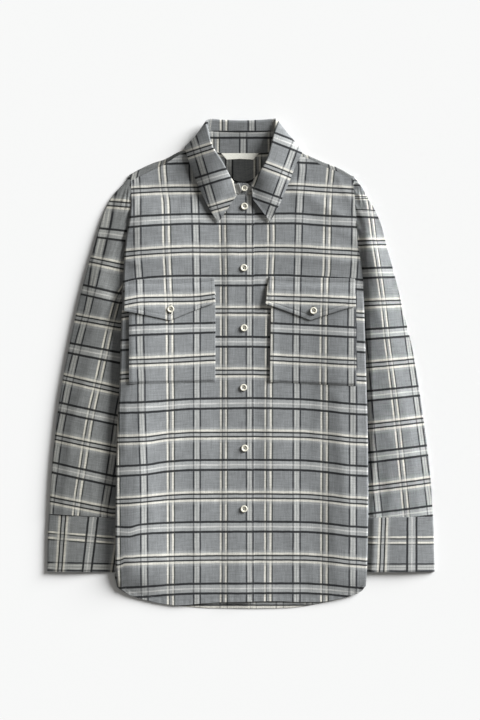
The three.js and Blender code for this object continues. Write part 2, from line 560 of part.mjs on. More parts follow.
function stand() {
  const rows = steps((COLLAR.length - 1) * 2, 0, COLLAR.length - 1).map((row) => {
    const { foot, top } = collarSection(row);
    return steps(3).map((v) => triple(foot.clone().lerp(top, v)));
  });
  for (const s of STAND_TAB) {
    rows.push(steps(3).map((v) => [mix(s.fX, s.tX, v), mix(s.fY, s.tY, v), mix(s.fZ, s.tZ, v)]));
  }
  return rows;
}

function leaf() {
  return steps((COLLAR.length - 1) * 2, 0, COLLAR.length - 1).map((row) => {
    const { seam, inner, turned, middle, edge } = collarSection(row);
    const outerStart = turned[3];
    return [
      triple(seam),
      triple(seam.clone().lerp(inner, 0.6)),
      ...turned.map(triple),
      ...[0.33, 0.67, 1].map((v) => triple(outerStart.clone().lerp(middle, v))),
      ...[0.33, 0.67, 1].map((v) => triple(middle.clone().lerp(edge, v))),
    ];
  });
}

// A patch between four corners on a height, its lower edge drawn down to a point in the middle
function patch(p, across, rows, height) {
  return rows.map((v) => steps(across).map((u) => {
    const x = mix(mix(p.aX, p.bX, u), mix(p.cX, p.dX, u), v);
    const drop = (p.point || 0) * (1 - Math.abs(2 * u - 1)) ** 1.1;
    const y = mix(mix(p.aY, p.bY, u), mix(p.cY, p.dY, u) - drop, v);
    return [x, y, height(x, y, u, v)];
  }));
}

const pocketZ = (x, y) => panelZ(x, y) + PATCH_STEP;
const POCKET_ROWS = [0, 0.07, 0.14, 0.22, 0.34, 0.48, 0.62, 0.76, 0.88, 1];
const FLAP_ROWS = [0, 0.1, 0.2, 0.3, 0.42, 0.6, 0.8, 1];
const POCKET_TOP = 118.4;

// A flap starts on the front and climbs on to the pocket
function flapZ(x, y, u, v) {
  const onPocket = PATCH_STEP * (1 - ramp(POCKET_TOP + 1.6, POCKET_TOP + 13, y));
  return panelZ(x, y) + PATCH_STEP + onPocket + 0.7 * v * v;
}

// Buttons: a turned profile with a raised rim and four holes
const BUTTON_PROFILE = [
  { r: 0.72, z: 0 },
  { r: 1, z: 0.45 },
  { r: 0.94, z: 1 },
  { r: 0.72, z: 1 },
  { r: 0.6, z: 0.72 },
];

function turned(profile, radius, height, count) {
  const points = [];
  for (const p of profile) {
    for (let k = 0; k < count; k += 1) {
      const a = (2 * Math.PI * k) / count;
      points.push(new THREE.Vector3(radius * p.r * Math.cos(a), radius * p.r * Math.sin(a), height * p.z));
    }
  }
  const [low, high] = [profile[0], profile[profile.length - 1]];
  const bottom = points.push(new THREE.Vector3(0, 0, height * low.z)) - 1;
  const top = points.push(new THREE.Vector3(0, 0, height * high.z)) - 1;
  const index = [];
  for (let k = 0; k < count; k += 1) {
    const next = (k + 1) % count;
    for (let i = 0; i < profile.length - 1; i += 1) {
      const [a, b, c, d] = [i * count + k, i * count + next, (i + 1) * count + next, (i + 1) * count + k];
      index.push(a, b, c, a, c, d);
    }
    const last = (profile.length - 1) * count;
    index.push(bottom, next, k, top, last + k, last + next);
  }
  return solid(points, index);
}

function toManifold(geometry) {
  const vertProperties = new Float32Array(geometry.attributes.position.array);
  const triVerts = new Uint32Array(geometry.index.array);
  return new wasm.Manifold(new wasm.Mesh({ numProp: 3, vertProperties, triVerts }));
}

function fromManifold(body) {
  const mesh = body.getMesh();
  const points = [];
  for (let k = 0; k < mesh.vertProperties.length; k += mesh.numProp) {
    points.push(new THREE.Vector3(...mesh.vertProperties.slice(k, k + 3)));
  }
  return solid(points, [...mesh.triVerts]);
}

function button() {
  let body = toManifold(turned(BUTTON_PROFILE, BUTTON_DIAMETER / 2, BUTTON_THICK, 18));
  const pin = turned([{ r: 1, z: -1 }, { r: 1, z: 2 }], BUTTON_HOLE / 2, BUTTON_THICK, 7);
  for (const [sx, sy] of [[1, 1], [1, -1], [-1, 1], [-1, -1]]) {
    const hole = pin.clone().translate((sx * BUTTON_HOLE_SPACING) / 2, (sy * BUTTON_HOLE_SPACING) / 2, 0);
    body = body.subtract(toManifold(hole));
  }
  return fromManifold(body);
}

const group = new THREE.Group();
group.name = "flannel_shirt";
function add(name, geometry, color) {
  const mesh = new THREE.Mesh(geometry, new THREE.MeshStandardMaterial({ color, roughness: 0.9, metalness: 0 }));
  mesh.name = name;
  group.add(mesh);
  return mesh;
}
const CLOTH = 0x8f9294;
const IVORY = 0xe8e6d6;
const TAPE = 0xe2e0d2;

add("back", wallOn(back(), WALL), CLOTH);
add("yoke", wallOn(yoke(), WALL), CLOTH);
add("left_front", wallOn(front(1, -11.2, FRONT_TOP_RIGHT, frontZ), WALL), CLOTH);
add("right_front", wallOn(front(-1, 20.8, FRONT_TOP_LEFT, topFrontZ), WALL), CLOTH);
add("sleeve_right", wallOn(tube(SLEEVE_LEFT, WALL, FRONT_OVER_BACK, 16, true), WALL, true), CLOTH);
add("sleeve_left", wallOn(tube(SLEEVE_RIGHT, WALL, FRONT_OVER_BACK, 16, true), WALL, true), CLOTH);
add("cuff_right", wallOn(tube(CUFF_LEFT, CUFF_WALL, FRONT_OVER_BACK, 3, false), CUFF_WALL, true), CLOTH);
add("cuff_left", wallOn(tube(CUFF_RIGHT, CUFF_WALL, FRONT_OVER_BACK, 3, false), CUFF_WALL, true), CLOTH);
add("collar_stand", wallOn(stand(), WALL), CLOTH);
add("collar_leaf", wallOn(leaf(), WALL), CLOTH);
for (const p of POCKETS) add(p.name, wallOn(patch(p, 8, POCKET_ROWS, pocketZ), WALL), CLOTH);
for (const f of FLAPS) add(f.name, wallOn(patch(f, 8, FLAP_ROWS, flapZ), WALL), CLOTH);
const labelZ = (x, y) => backZ(x, y) + WALL / 2 + SEAM_GAP + TAPE_WALL / 2;
add("neck_label", wallOn(patch(NECK_LABEL, 6, steps(2), labelZ), TAPE_WALL), TAPE);
for (const b of BUTTONS) {
  const seat = {
    stand: () => 4.5 + WALL / 2 + 0.2,
    front: () => Math.max(panelZ(b.x, b.y), panelZ(b.x, b.y + 4), panelZ(b.x, b.y - 4)) + WALL / 2,
    flap: () => panelZ(b.x, b.y) + 2 * PATCH_STEP + 0.75 + WALL / 2,
  }[b.on]();
  add(b.name, button().translate(b.x, b.y, seat + SEAM_GAP), IVORY);
}

export default group;
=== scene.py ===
"""A plaid flannel shirt lying flat on its back, seen from straight above.

Each cloth piece is a grid of points worked out from the garment's sizes in millimetres, then given a wall.
Its UV map counts repeats of the woven check: u from warp stripe to warp stripe, v from weft stripe to weft
stripe, read from where the stripes lie on the cloth. X runs to the viewer's right, Y towards the collar, Z up
from the surface. Pieces are named by the wearer's side, so sleeve_right lies at the viewer's left.
"""

import math

import bpy
import numpy as np
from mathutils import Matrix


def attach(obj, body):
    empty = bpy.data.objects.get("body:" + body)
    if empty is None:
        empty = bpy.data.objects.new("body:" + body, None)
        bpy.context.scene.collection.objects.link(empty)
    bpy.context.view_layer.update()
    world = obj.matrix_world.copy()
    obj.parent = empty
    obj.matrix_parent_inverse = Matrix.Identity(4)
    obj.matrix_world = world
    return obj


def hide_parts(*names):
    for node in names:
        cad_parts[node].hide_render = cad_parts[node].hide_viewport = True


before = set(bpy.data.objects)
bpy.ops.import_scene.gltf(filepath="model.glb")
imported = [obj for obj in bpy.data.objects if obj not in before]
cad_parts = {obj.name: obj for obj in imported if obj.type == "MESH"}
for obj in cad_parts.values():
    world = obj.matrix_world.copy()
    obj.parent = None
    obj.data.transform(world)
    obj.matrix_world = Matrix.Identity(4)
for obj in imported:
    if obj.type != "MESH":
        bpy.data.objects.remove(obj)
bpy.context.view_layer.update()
MM = 0.001

# Walls of the cloth, the steps and gaps between its layers, and how far they are lifted or show, in mm
WALL = 1.5
CUFF_WALL = 1.9
TAPE_WALL = 1.0
SEAM_GAP = 0.3
FRONT_OVER_BACK = 2.4
PLACKET_STEP = 2.1
PATCH_STEP = 2.1
SIDE_LIFT = 5.2
SIDE_LIFT_WIDTH = 32.0
SIDE_LIFT_FADE = 60.0
NECK_LIFT = 1.95
ROLL_RADIUS = 1.3
BACK_SHOWS = 3.2
# Lines of the garment as x or y
PLACKET_FROM = -36.8
PLACKET_TO = -16
RIGHT_FRONT_EDGE = 20.8
LEFT_FRONT_EDGE = -11.2
YOKE_SEAM_Y = 238.4
POCKET_TOP = 118.4
# Stitch lines, as the distance from the edge that each follows
HEM_STITCH = 8.0
PLACKET_STITCH = 3.2
POCKET_STITCH = 3.0
FLAP_STITCH = 5.5
FLAP_TOP_STITCH = 6.0
LEAF_STITCH = 6.0
LEAF_GROOVE = 7.0
# The woven check: the size of a repeat, and the threads in it
WARP_REPEAT = 90.0
WEFT_REPEAT = 98.0
WARP_THREADS = 118.0
WEFT_THREADS = 128.0

# Outline of the body as (x, y): side edges, hems, tops of the fronts, left and right as the viewer sees them
SIDE_LEFT = [
    (-177.6, 302.4), (-175.7, 283.2), (-175.5, 272), (-177.4, 235.2), (-183.8, 198.4),
    (-187.5, 142.4), (-188.3, 118.4), (-191.7, 52.8), (-193.9, -33.6), (-197.6, -105.6),
    (-200, -201.6), (-200.8, -297.6), (-198.4, -336), (-193.8, -361.6),
]
SIDE_RIGHT = [
    (177.6, 302.4), (179.5, 283.2), (181.1, 272), (183.8, 235.2), (185.9, 198.4),
    (194.2, 142.4), (195.8, 118.4), (197.9, 52.8), (200.5, -33.6), (202.4, -105.6),
    (203.2, -201.6), (202.2, -297.6), (200.3, -332.8), (198.7, -361.6),
]
FRONT_HEM = [
    (-200, -358.7), (-193.8, -359), (-178.2, -368.5), (-157, -375.8),
    (-127.7, -382.4), (-100.8, -385.6), (-62.4, -382.7), (-21.4, -380.2), (14.4, -379.5),
    (59.2, -379), (96.6, -380.3), (126.1, -380), (153.8, -375.8),
    (178.2, -369.3), (193, -361.9), (198.7, -354.6), (203.2, -352),
]
BACK_HEM = [
    (-201, -353.6), (-194.6, -359), (-178.2, -369), (-127.7, -383),
    (-88.5, -387.2), (-46.1, -389.9), (19.2, -390.9), (72, -389.8),
    (113, -385), (153.6, -376.3), (178.2, -369.6), (198.7, -355.2),
    (203.2, -352),
]
FRONT_TOP_LEFT = [
    (-177.6, 291.5), (-159.4, 300.8), (-145.6, 307.5), (-124, 317.9),
    (-101.3, 332.3), (-88, 337.8), (-75.2, 340.3), (-65.6, 340),
    (-61.6, 337.3), (-57.6, 328.8), (-46.4, 307.2), (-33.6, 290.4),
    (-19.2, 277.9), (-4.8, 270.6), (8, 269.1), (22.4, 269.1),
]
FRONT_TOP_RIGHT = [
    (-12.8, 269.1), (4.8, 269.6), (19.2, 277.9), (33.6, 290.4),
    (46.4, 307.2), (57.6, 328.8), (61.6, 337.3), (65.6, 339.5),
    (75.2, 338.2), (88, 335.5), (97.6, 331.8), (112.5, 326.4),
    (132.8, 315.5), (158.4, 305.3), (179.2, 294.6),
]
# Yoke columns as (x, y of the fold's middle, run down the front, share of the half turn)
YOKE = [
    (-175.5, 300.8, 8.2, 1),
    (-159.4, 310.1, 8.8, 1),
    (-136.5, 320.6, 8.0, 1),
    (-124, 324.5, 6.1, 1),
    (-101.3, 336.3, 3.5, 1),
    (-88, 341.6, 3.3, 1),
    (-75.2, 344, 3.2, 1),
    (-66.4, 343.5, 3.0, 1),
    (-62.4, 342.1, 1.5, 0.85),
    (-58.4, 340.5, 0.3, 0.45),
    (-54.4, 339.4, 0, 0.1),
    (-48, 338.7, 0, 0),
    (-32, 337.6, 0, 0),
    (0, 336.6, 0, 0),
    (32, 337.6, 0, 0),
    (48, 338.7, 0, 0),
    (54.4, 339.4, 0, 0.1),
    (58.4, 340.5, 0.3, 0.45),
    (62.4, 342.1, 1.5, 0.85),
    (66.4, 343.2, 3.0, 1),
    (75.2, 342.1, 3.3, 1),
    (88, 339.4, 3.3, 1),
    (97.6, 335.7, 3.3, 1),
    (112.5, 329.4, 2.5, 1),
    (132.8, 320.5, 4.5, 1),
    (158.4, 310.2, 4.4, 1),
    (177.3, 299.2, 3.4, 1),
]
# Large soft folds as (x, y, half length, half width, turn from X in degrees, height)
BODY_FOLDS = [
    (-110.4, 182.4, 62, 26, 12, 1.6),
    (113.6, 185.6, 60, 26, -14, 1.8),
    (-129.6, 254.4, 55, 13, 38, 1.3),
    (129.6, 251.2, 55, 13, -38, 1.3),
    (-110.4, 30.4, 60, 34, 90, 1.5),
    (113.6, 30.4, 60, 34, 90, 1.6),
    (-160, -145.6, 120, 12, 86, 1.7),
    (-57.6, -169.6, 130, 22, 93, 1.2),
    (57.6, -145.6, 120, 20, 88, 1.4),
    (163.2, -169.6, 130, 14, 94, 1.9),
    (-14.4, 166.4, 55, 14, 90, 0.9),
]
# Rings of the sleeves and cuffs, each under its piece's name, as
# (outer x, outer y, inner x, inner y, puff of the upper wall)
RINGS_SLEEVE_RIGHT = [
    (-177.8, 302.7, -191, 129.6, 0),
    (-187.5, 289.9, -191.7, 120, 1.6),
    (-201.6, 273.9, -191, 110.4, 2.4),
    (-213.9, 254.1, -189.8, 99.2, 2.6),
    (-224.6, 225.3, -186.7, 86.4, 2.6),
    (-234.6, 190.1, -183.2, 70.4, 2.6),
    (-247, 148.8, -177.6, 48, 5.0),
    (-261.4, 92.8, -172.8, 11.2, 5.0),
    (-276.2, 24, -170.4, -41.6, 4.8),
    (-289.6, -49.6, -174.4, -97.6, 4.6),
    (-297.8, -115.2, -179.2, -152, 4.2),
    (-303.7, -179.2, -184, -201.6, 3.6),
    (-306.9, -239, -187.2, -246.7, 2.4),
]
RINGS_SLEEVE_LEFT = [
    (177.9, 301.1, 197.6, 129.6, 0),
    (191, 285.8, 197.8, 120, 1.6),
    (201.9, 267.2, 197.1, 110.4, 3.0),
    (213.1, 247.7, 196.2, 99.2, 4.0),
    (224.6, 220.8, 193.1, 86.4, 4.6),
    (233.3, 187.2, 189.6, 70.4, 4.9),
    (244.3, 147.2, 184, 48, 5.0),
    (258.2, 91.2, 179.2, 11.2, 5.0),
    (274.1, 24, 176.8, -41.6, 4.8),
    (286.9, -52.8, 180.8, -97.6, 4.6),
    (296, -116.8, 184, -152, 4.2),
    (303, -179.2, 188, -201.6, 3.6),
    (307, -243.5, 190.4, -245.1, 2.4),
]
RINGS_CUFF_RIGHT = [
    (-307.4, -240.3, -187.2, -248, 1.6),
    (-309, -270.4, -187.2, -276, 1.9),
    (-309.6, -302.4, -187.5, -305.6, 1.9),
    (-309.8, -331.2, -188.2, -332.8, 1.5),
]
RINGS_CUFF_LEFT = [
    (307.5, -244.6, 190.4, -246.2, 1.6),
    (308.6, -270.4, 190.7, -272.8, 1.9),
    (309.4, -302.4, 191, -303.2, 1.9),
    (309.9, -331.5, 191.4, -332.2, 1.5),
]
# Collar sections as (foot x y z, roll x y z, lean, rise, middle x y z, edge x y z)
COLLAR = [
    (-1.9, 271, 5.3, -12.2, 291.5, 9.6, 0, 2, -7.7, 268.2, 10.4, -35.8, 226.9, 8.2),
    (-16.2, 277.9, 5.3, -18.9, 302.4, 11.0, 0, 3, -26.2, 272, 10.6, -45.8, 240, 7.4),
    (-30.6, 289.3, 3.8, -29.4, 322.2, 11.9, 0, 4.5, -44.2, 293.4, 10.0, -60.2, 267.5, 6.4),
    (-43.4, 305.8, 4.1, -42.2, 341.4, 12.1, 0, 6.5, -58.2, 316.8, 10.2, -73.3, 297, 6.4),
    (-53.4, 325.1, 5.0, -48, 354.9, 11.8, 8, 8.5, -64.6, 335, 10.6, -81, 318.1, 7.8),
    (-57.9, 335, 5.0, -51.8, 371.8, 10.0, 40, 11, -69.8, 351.4, 9.6, -86.7, 335.7, 8.2),
    (-55.7, 341, 3.9, -54.1, 385.9, 6.2, 95, 15, -71.4, 364.5, 5.0, -89, 346.9, 3.9),
    (-52.8, 339.7, 3.0, -47, 390.6, 3.1, 160, 17, -58.6, 368.6, 1.5, -71, 348.5, 1.4),
    (-40, 338.7, 2.7, -29.4, 389.6, 2.1, 180, 17.5, -34.2, 360, 0.8, -39, 331.2, 0.8),
    (0, 337.1, 2.7, 1.6, 388.5, 2.1, 180, 17, 0.8, 358.4, 0.8, 0, 329, 0.8),
    (40, 338.7, 2.7, 32.6, 389.6, 2.1, 180, 17.5, 35.8, 360, 0.8, 39, 331.2, 0.8),
    (52.8, 339.7, 3.0, 48.6, 390.6, 3.1, 200, 17, 61.1, 368.6, 1.5, 73, 348.2, 1.4),
    (54.9, 341.3, 3.9, 54.7, 388.8, 6.2, 265, 15, 75.5, 366.1, 5.0, 95.7, 343, 3.9),
    (57.9, 335, 5.0, 52.5, 370.2, 10.0, 320, 11, 74.2, 350.7, 9.6, 96.3, 334.4, 8.2),
    (53.4, 325.1, 5.0, 48.5, 351.4, 11.8, 352, 8.5, 68.2, 334.4, 10.6, 88.3, 320.6, 7.8),
    (43.4, 305.8, 4.1, 41, 325.8, 11.6, 360, 6.5, 61.4, 307.8, 10.2, 79, 296.6, 6.4),
    (30.6, 289.3, 3.3, 29.1, 305.6, 10.8, 360, 4, 48, 282.6, 9.6, 66.2, 265.6, 6.2),
    (19.7, 279.7, 3.2, 20.6, 294.7, 9.6, 360, 2, 32, 265.6, 9.4, 56.3, 245.4, 6.4),
    (13.8, 275.2, 3.2, 16.6, 287, 8.8, 360, 1.5, 18.9, 263.4, 9.2, 46.4, 227.8, 6.8),
]
# The stand runs on past the leaf on the button side, as (foot x y z, top x y z)
STAND_TAB = [(7, 269, 3.8, 8.6, 288.6, 7.0), (-7.4, 268.5, 3.6, -5.8, 289, 6.4)]
# and its rounded end on the other side, in the same columns
STAND_END = (1, 277.1, 8.6, -2.6, 287, 11.0)
# Patches as (x, y) corners from the top left, and the drop of the lower edge's point
POCKET_RIGHT = ((-177.9, 118.4), (-41.3, 118.4), (-177.6, -31.4), (-41.3, -28.5), 0)
POCKET_LEFT = ((48.6, 118.4), (183, 118.4), (46.2, -28.8), (183.4, -34.9), 0)
FLAP_RIGHT = ((-184.6, 133.4), (-43.2, 137.6), (-185, 84.2), (-41.3, 97.9), 21.4)
FLAP_LEFT = ((44.5, 139.2), (181.8, 136), (39.4, 96), (182.1, 92.2), 24)
NECK_LABEL = ((-31.2, 336.6), (28.3, 336.6), (-22.9, 326.7), (19.5, 326.7), -1.2)
BUTTONS = {
    "button_1": (5.3, 251.8),
    "button_2": (4.6, 153.6),
    "button_3": (4.8, 57.6),
    "button_4": (4, -37.6),
    "button_5": (5.9, -134.4),
    "button_6": (4.8, -231.4),
}

# The least height of any point of the cloth above the surface
REST = 0.05
# How far the worn-in shape stands above the plain one: the collar's roll at its sides and its back, and the
# free edge of its leaf. The pairs are for the viewer's left and right: the fronts along their sides, the
# inner side of the sleeves, the same at their heads, the inner side of the cuffs, and the outer edge of both
COLLAR_PUFF = 10.0
COLLAR_BACK_PUFF = 10.0
LEAF_EDGE_LIFT = 2.6
SIDE_PUFF = (9.0, 0.6)
SLEEVE_PUFF = (0.6, 5.8)
SLEEVE_HEAD_TILT = (2.0, 0.0)
CUFF_PUFF = (0.3, 4.5)
OUTER_PUFF = (3.8, 0.6)
# The rings between which the outer puff of a sleeve grows, and its share on a cuff
OUTER_PUFF_GROWS = ((1.8, 5.5), (0, 2))
OUTER_PUFF_CUFF = 0.6
# Gathers at the sleeve heads as (depth, rings that they reach)
GATHERS = ((1.5, 1.7), (0.8, 1.1))
# How far the left end of flap_right hangs, and how far pockets and flaps lift at their left ends
FLAP_DROOP = 3.8
PATCH_END_LIFT = 1.5

# Finer creases of the fronts as (x, y, half length, half width, turn from X in degrees, height)
CREASES = [
    (-161.6, 278.4, 34, 5, 62, 0.7),
    (-152, 240, 40, 5, 30, 0.6),
    (-166.4, 211.2, 34, 5, 12, 0.7),
    (-145.6, 163.2, 46, 6, 4, 0.55),
    (-176, 163.2, 22, 5, -20, 0.7),
    (166.4, 275.2, 34, 5, 118, 0.7),
    (155.2, 240, 42, 5, 150, 0.6),
    (168, 208, 34, 5, 166, 0.7),
    (150.4, 163.2, 46, 6, 176, 0.5),
    (177.6, 163.2, 22, 5, 196, 0.7),
    (-88, 268.8, 60, 7, 80, 0.7),
    (88, 268.8, 60, 7, 100, 0.7),
    (-20.8, 102.4, 50, 6, 92, 0.5),
    (27.2, 102.4, 60, 6, 88, 0.5),
    (-184, -89.6, 60, 6, 88, 1.0),
    (-142.4, -217.6, 70, 9, 94, 0.9),
    (-104, -105.6, 80, 9, 88, 0.7),
    (-68.8, -281.6, 80, 10, 91, 0.8),
    (-27.2, -169.6, 90, 8, 90, 0.6),
    (43.2, -105.6, 90, 9, 89, 0.7),
    (81.6, -249.6, 90, 10, 92, 0.9),
    (120, -121.6, 80, 9, 87, 0.8),
    (148.8, -265.6, 70, 9, 93, 0.9),
    (184, -89.6, 60, 7, 91, 1.0),
    (-126.4, -313.6, 40, 9, 84, 0.9),
    (-1.6, -337.6, 40, 8, 91, 0.7),
    (113.6, -337.6, 40, 9, 96, 0.8),
    (-153.6, -49.6, 30, 7, 30, 0.5),
    (155.2, -54.4, 30, 7, 150, 0.5),
]
# Creases of the sleeves in the same columns
CREASES_SLEEVE_RIGHT = [
    (-192, 273.6, 22, 1.8, 61, 1.3),
    (-188.8, 272, 22, 1.7, 68, -1.3),
    (-185.9, 270.4, 22, 1.7, 75, 1.3),
    (-183.2, 268.8, 22, 1.6, 81, -1.3),
    (-180.5, 268.8, 20, 1.6, 87, 1.2),
    (-201.6, 236.8, 30, 4, 74, 0.9),
    (-211.2, 227.2, 36, 4, 70, -0.8),
    (-209.6, 182.4, 46, 8, 64, 1.4),
    (-228.8, 137.6, 50, 9, 52, 1.2),
    (-225.6, 70.4, 56, 8, 66, 1.3),
    (-244.8, 19.2, 52, 8, 60, -1.0),
    (-254.4, -44.8, 60, 8, 72, 1.3),
    (-228.8, -89.6, 56, 8, 66, 1.1),
    (-273.6, -140.8, 56, 7, 84, 1.2),
    (-232, -169.6, 50, 7, 80, 0.9),
    (-257.6, -224, 30, 5, 84, -0.9),
    (-235.2, -224, 30, 5, 92, 0.8),
    (-283.2, -217.6, 30, 5, 86, 0.8),
]
CREASES_SLEEVE_LEFT = [
    (188.8, 272, 20, 1.7, 95, 1.2),
    (192, 268.8, 22, 1.7, 101, -1.2),
    (195.2, 267.2, 22, 1.7, 107, 1.2),
    (198.7, 265.6, 22, 1.8, 113, -1.1),
    (202.6, 264, 22, 1.8, 119, 1.1),
    (209.6, 233.6, 30, 4, 108, 0.9),
    (219.2, 220.8, 36, 4, 112, -0.8),
    (209.6, 179.2, 46, 8, 116, 1.3),
    (228.8, 128, 50, 9, 126, 1.1),
    (225.6, 64, 56, 8, 114, 1.2),
    (244.8, 12.8, 52, 8, 120, -1.0),
    (254.4, -51.2, 60, 8, 108, 1.2),
    (228.8, -96, 56, 8, 112, 1.0),
    (273.6, -147.2, 56, 7, 96, 1.2),
    (235.2, -176, 50, 7, 100, 0.9),
    (257.6, -227.2, 30, 5, 96, -0.9),
    (235.2, -227.2, 30, 5, 88, 0.8),
    (283.2, -220.8, 30, 5, 94, 0.8),
]

# Where the woven stripes lie. WARP: u of a stripe, then (y, x) points along it. WEFT: v, then (x, y) points.
# Whole numbers are the centres of a black pair (u) or a cream and black group (v), halves the other group
WARP_RIGHT_FRONT = {
    -2.5: [(342.4, -209.6), (102.4, -204.8), (-57.6, -200.8), (-377.6, -198.4)],
    -2: [
        (310.4, -168), (262.4, -165.6), (182.4, -165.1), (139.2, -162.7), (86.4, -159.4), (-57.6, -158.6),
        (-201.6, -154.2), (-377.6, -153.6),
    ],
    -1.5: [
        (310.4, -127.4), (281.6, -124.6), (254.4, -120.8), (182.4, -119), (118.4, -116.5), (-57.6, -112.8),
        (-377.6, -112.8),
    ],
    -1: [(310.4, -76), (262.4, -73.6), (182.4, -71), (124.8, -70.4), (-377.6, -70.4)],
    -0.5: [(310.4, -30.4), (217.6, -29.6), (124.8, -27.8), (-377.6, -28.3)],
    0: [(310.4, 13.1), (-377.6, 14.1)],
}
WEFT_RIGHT_FRONT = {
    -0.5: [(-196.8, 322.4), (-161.6, 325.6), (-73.6, 328.6), (20.8, 328.6)],
    0: [(-196.8, 274.4), (-174.4, 276.2), (-121.6, 278.6), (-73.6, 279), (20.8, 279)],
    0.5: [(-196.8, 224.3), (-172.8, 226.6), (-121.6, 230.1), (-70.4, 231.8), (20.8, 231.2)],
    1: [(-196.8, 173.4), (-181.6, 175.5), (-121.6, 179.8), (-76.8, 181.8), (20.8, 181.8)],
    1.5: [(-196.8, 119.2), (-185.6, 123.2), (-160, 128.8), (-121.6, 132.3), (-76.8, 133.1), (20.8, 133.1)],
    2: [(-196.8, 76.8), (-187.2, 77.9), (-160, 80.8), (-121.6, 83.5), (-73.6, 84.8), (20.8, 84.8)],
    2.5: [(-196.8, 29.4), (-187.2, 30.4), (-160, 32.3), (-121.6, 34.4), (-73.6, 35.5), (20.8, 35.5)],
    3: [(-196.8, -21.4), (-187.2, -20.3), (-160, -18.4), (-121.6, -15.7), (-73.6, -13.4), (20.8, -13.3)],
    3.5: [(-196.8, -69.8), (-150.4, -68.6), (-116.8, -66.4), (-76.8, -63.8), (20.8, -62.2)],
    4: [(-196.8, -121.1), (-150.4, -119.4), (-116.8, -115.2), (-76.8, -113), (20.8, -112.5)],
    4.5: [(-196.8, -170.9), (-150.4, -168), (-116.8, -163.4), (-76.8, -161.3), (20.8, -160.8)],
    5: [(-196.8, -219.2), (-150.4, -216), (-116.8, -213.1), (-76.8, -211.5), (20.8, -211)],
    5.5: [
        (-200, -266.6), (-178.4, -267.7), (-162.1, -263.4), (-145.6, -261.8), (-113.6, -260.8),
        (-76.8, -260.2), (20.8, -259.7),
    ],
    6: [
        (-200, -316.8), (-192, -315.5), (-184, -312.3), (-150.4, -311.2), (-116.8, -310.7), (-76.8, -310.1),
        (20.8, -309.6),
    ],
    6.5: [(-196.8, -365.6), (-150.4, -363.2), (-116.8, -360.8), (-76.8, -359), (20.8, -358.4)],
}
WARP_LEFT_FRONT = {
    0: [(262.4, 3.2), (-377.6, 0)],
    0.5: [(262.4, 47.2), (190.4, 47.8), (144, 45.9), (-57.6, 43.2), (-377.6, 42.4)],
    1: [
        (310.4, 98.6), (267.2, 94.6), (217.6, 92.3), (164.8, 91.2), (112, 89.9), (-57.6, 89.3),
        (-377.6, 88.8),
    ],
    1.5: [
        (310.4, 142.7), (270.4, 139), (217.6, 137), (152, 136.3), (118.4, 133.1), (-57.6, 132.8),
        (-377.6, 132.2),
    ],
    2: [(262.4, 183.2), (182.4, 182.4), (150.4, 181.1), (112, 178.2), (-57.6, 178.9), (-377.6, 178.4)],
    2.5: [(262.4, 220.8), (-377.6, 224)],
}
WEFT_LEFT_FRONT = {
    -0.5: [(14.4, 329.6), (78.4, 329.6), (177.6, 324.8)],
    0: [(14.4, 279), (78.4, 281.6), (136, 278.4), (177.6, 276.3), (203.2, 274.4)],
    0.5: [(-1.6, 231.2), (20.8, 232), (78.4, 232.8), (136, 229), (177.6, 226.9), (203.2, 224.8)],
    1: [(-1.6, 181.9), (43.2, 182.9), (97.6, 181.6), (136, 179.4), (177.6, 177.3), (203.2, 175.2)],
    1.5: [(14.4, 133.9), (70.4, 134.2), (97.6, 132.6), (136, 130.6), (177.6, 128), (203.2, 125.4)],
    2: [(14.4, 84.8), (94.4, 84), (158.4, 80.3), (190.4, 77.8), (206.4, 76.8)],
    2.5: [(14.4, 35.5), (94.4, 33.6), (158.4, 29.6), (190.4, 27.2), (206.4, 25.6)],
    3: [(14.4, -13.3), (94.4, -15.7), (158.4, -20.5), (190.4, -23.2), (206.4, -24)],
    3.5: [(14.4, -62.2), (94.4, -64), (142.4, -68), (174.4, -71.4), (206.4, -73)],
    4: [(14.4, -112.5), (94.4, -113.6), (142.4, -117.4), (174.4, -121), (206.4, -122.9)],
    4.5: [(14.4, -160.8), (94.4, -161.6), (142.4, -165.4), (174.4, -169.3), (206.4, -171.2)],
    5: [(14.4, -211), (94.4, -211.7), (142.4, -214.9), (174.4, -218.6), (206.4, -220.8)],
    5.5: [(14.4, -259.7), (94.4, -260.2), (142.4, -263), (174.4, -266.6), (206.4, -268.8)],
    6: [(14.4, -309.6), (94.4, -309.8), (142.4, -312.3), (174.4, -315.8), (206.4, -318.4)],
    6.5: [(14.4, -358.4), (94.4, -358.4), (142.4, -360.6), (174.4, -363.8), (206.4, -366.4)],
}
WARP_POCKET_RIGHT = {
    -2: [(118.4, -161.3), (38.4, -160.6), (-32, -158.1)],
    -1.5: [(118.4, -113.6), (-32, -113.6)],
    -1: [(118.4, -70.4), (-32, -70.4)],
    -0.5: [(118.4, -28.8), (-32, -28.8)],
}
WEFT_POCKET_RIGHT = {
    2: [(-177.6, 101.8), (-41.6, 105.6)],
    2.5: [(-177.6, 53.4), (-145.6, 55), (-41.6, 58.2)],
    3: [(-177.6, 3.2), (-129.6, 4.8), (-41.6, 9.6)],
    3.5: [(-177.6, -44.5), (-41.6, -40.6)],
}
WARP_FLAP_RIGHT = {
    -2: [(134.4, -161), (83.2, -159)],
    -1.5: [(134.4, -117.4), (83.2, -114.6)],
    -1: [(134.4, -70.4), (83.2, -68.8)],
    -0.5: [(134.4, -27.8), (83.2, -27.2)],
}
WEFT_FLAP_RIGHT = {
    1.5: [(-185.6, 146.2), (-156.8, 151.4), (-75.2, 152.6), (-41.6, 156.2)],
    2: [(-185.6, 97.1), (-156.8, 101.8), (-75.2, 103.5), (-41.6, 107.5)],
    2.5: [(-185.6, 48), (-156.8, 52.8), (-75.2, 54.4), (-41.6, 58.2)],
}
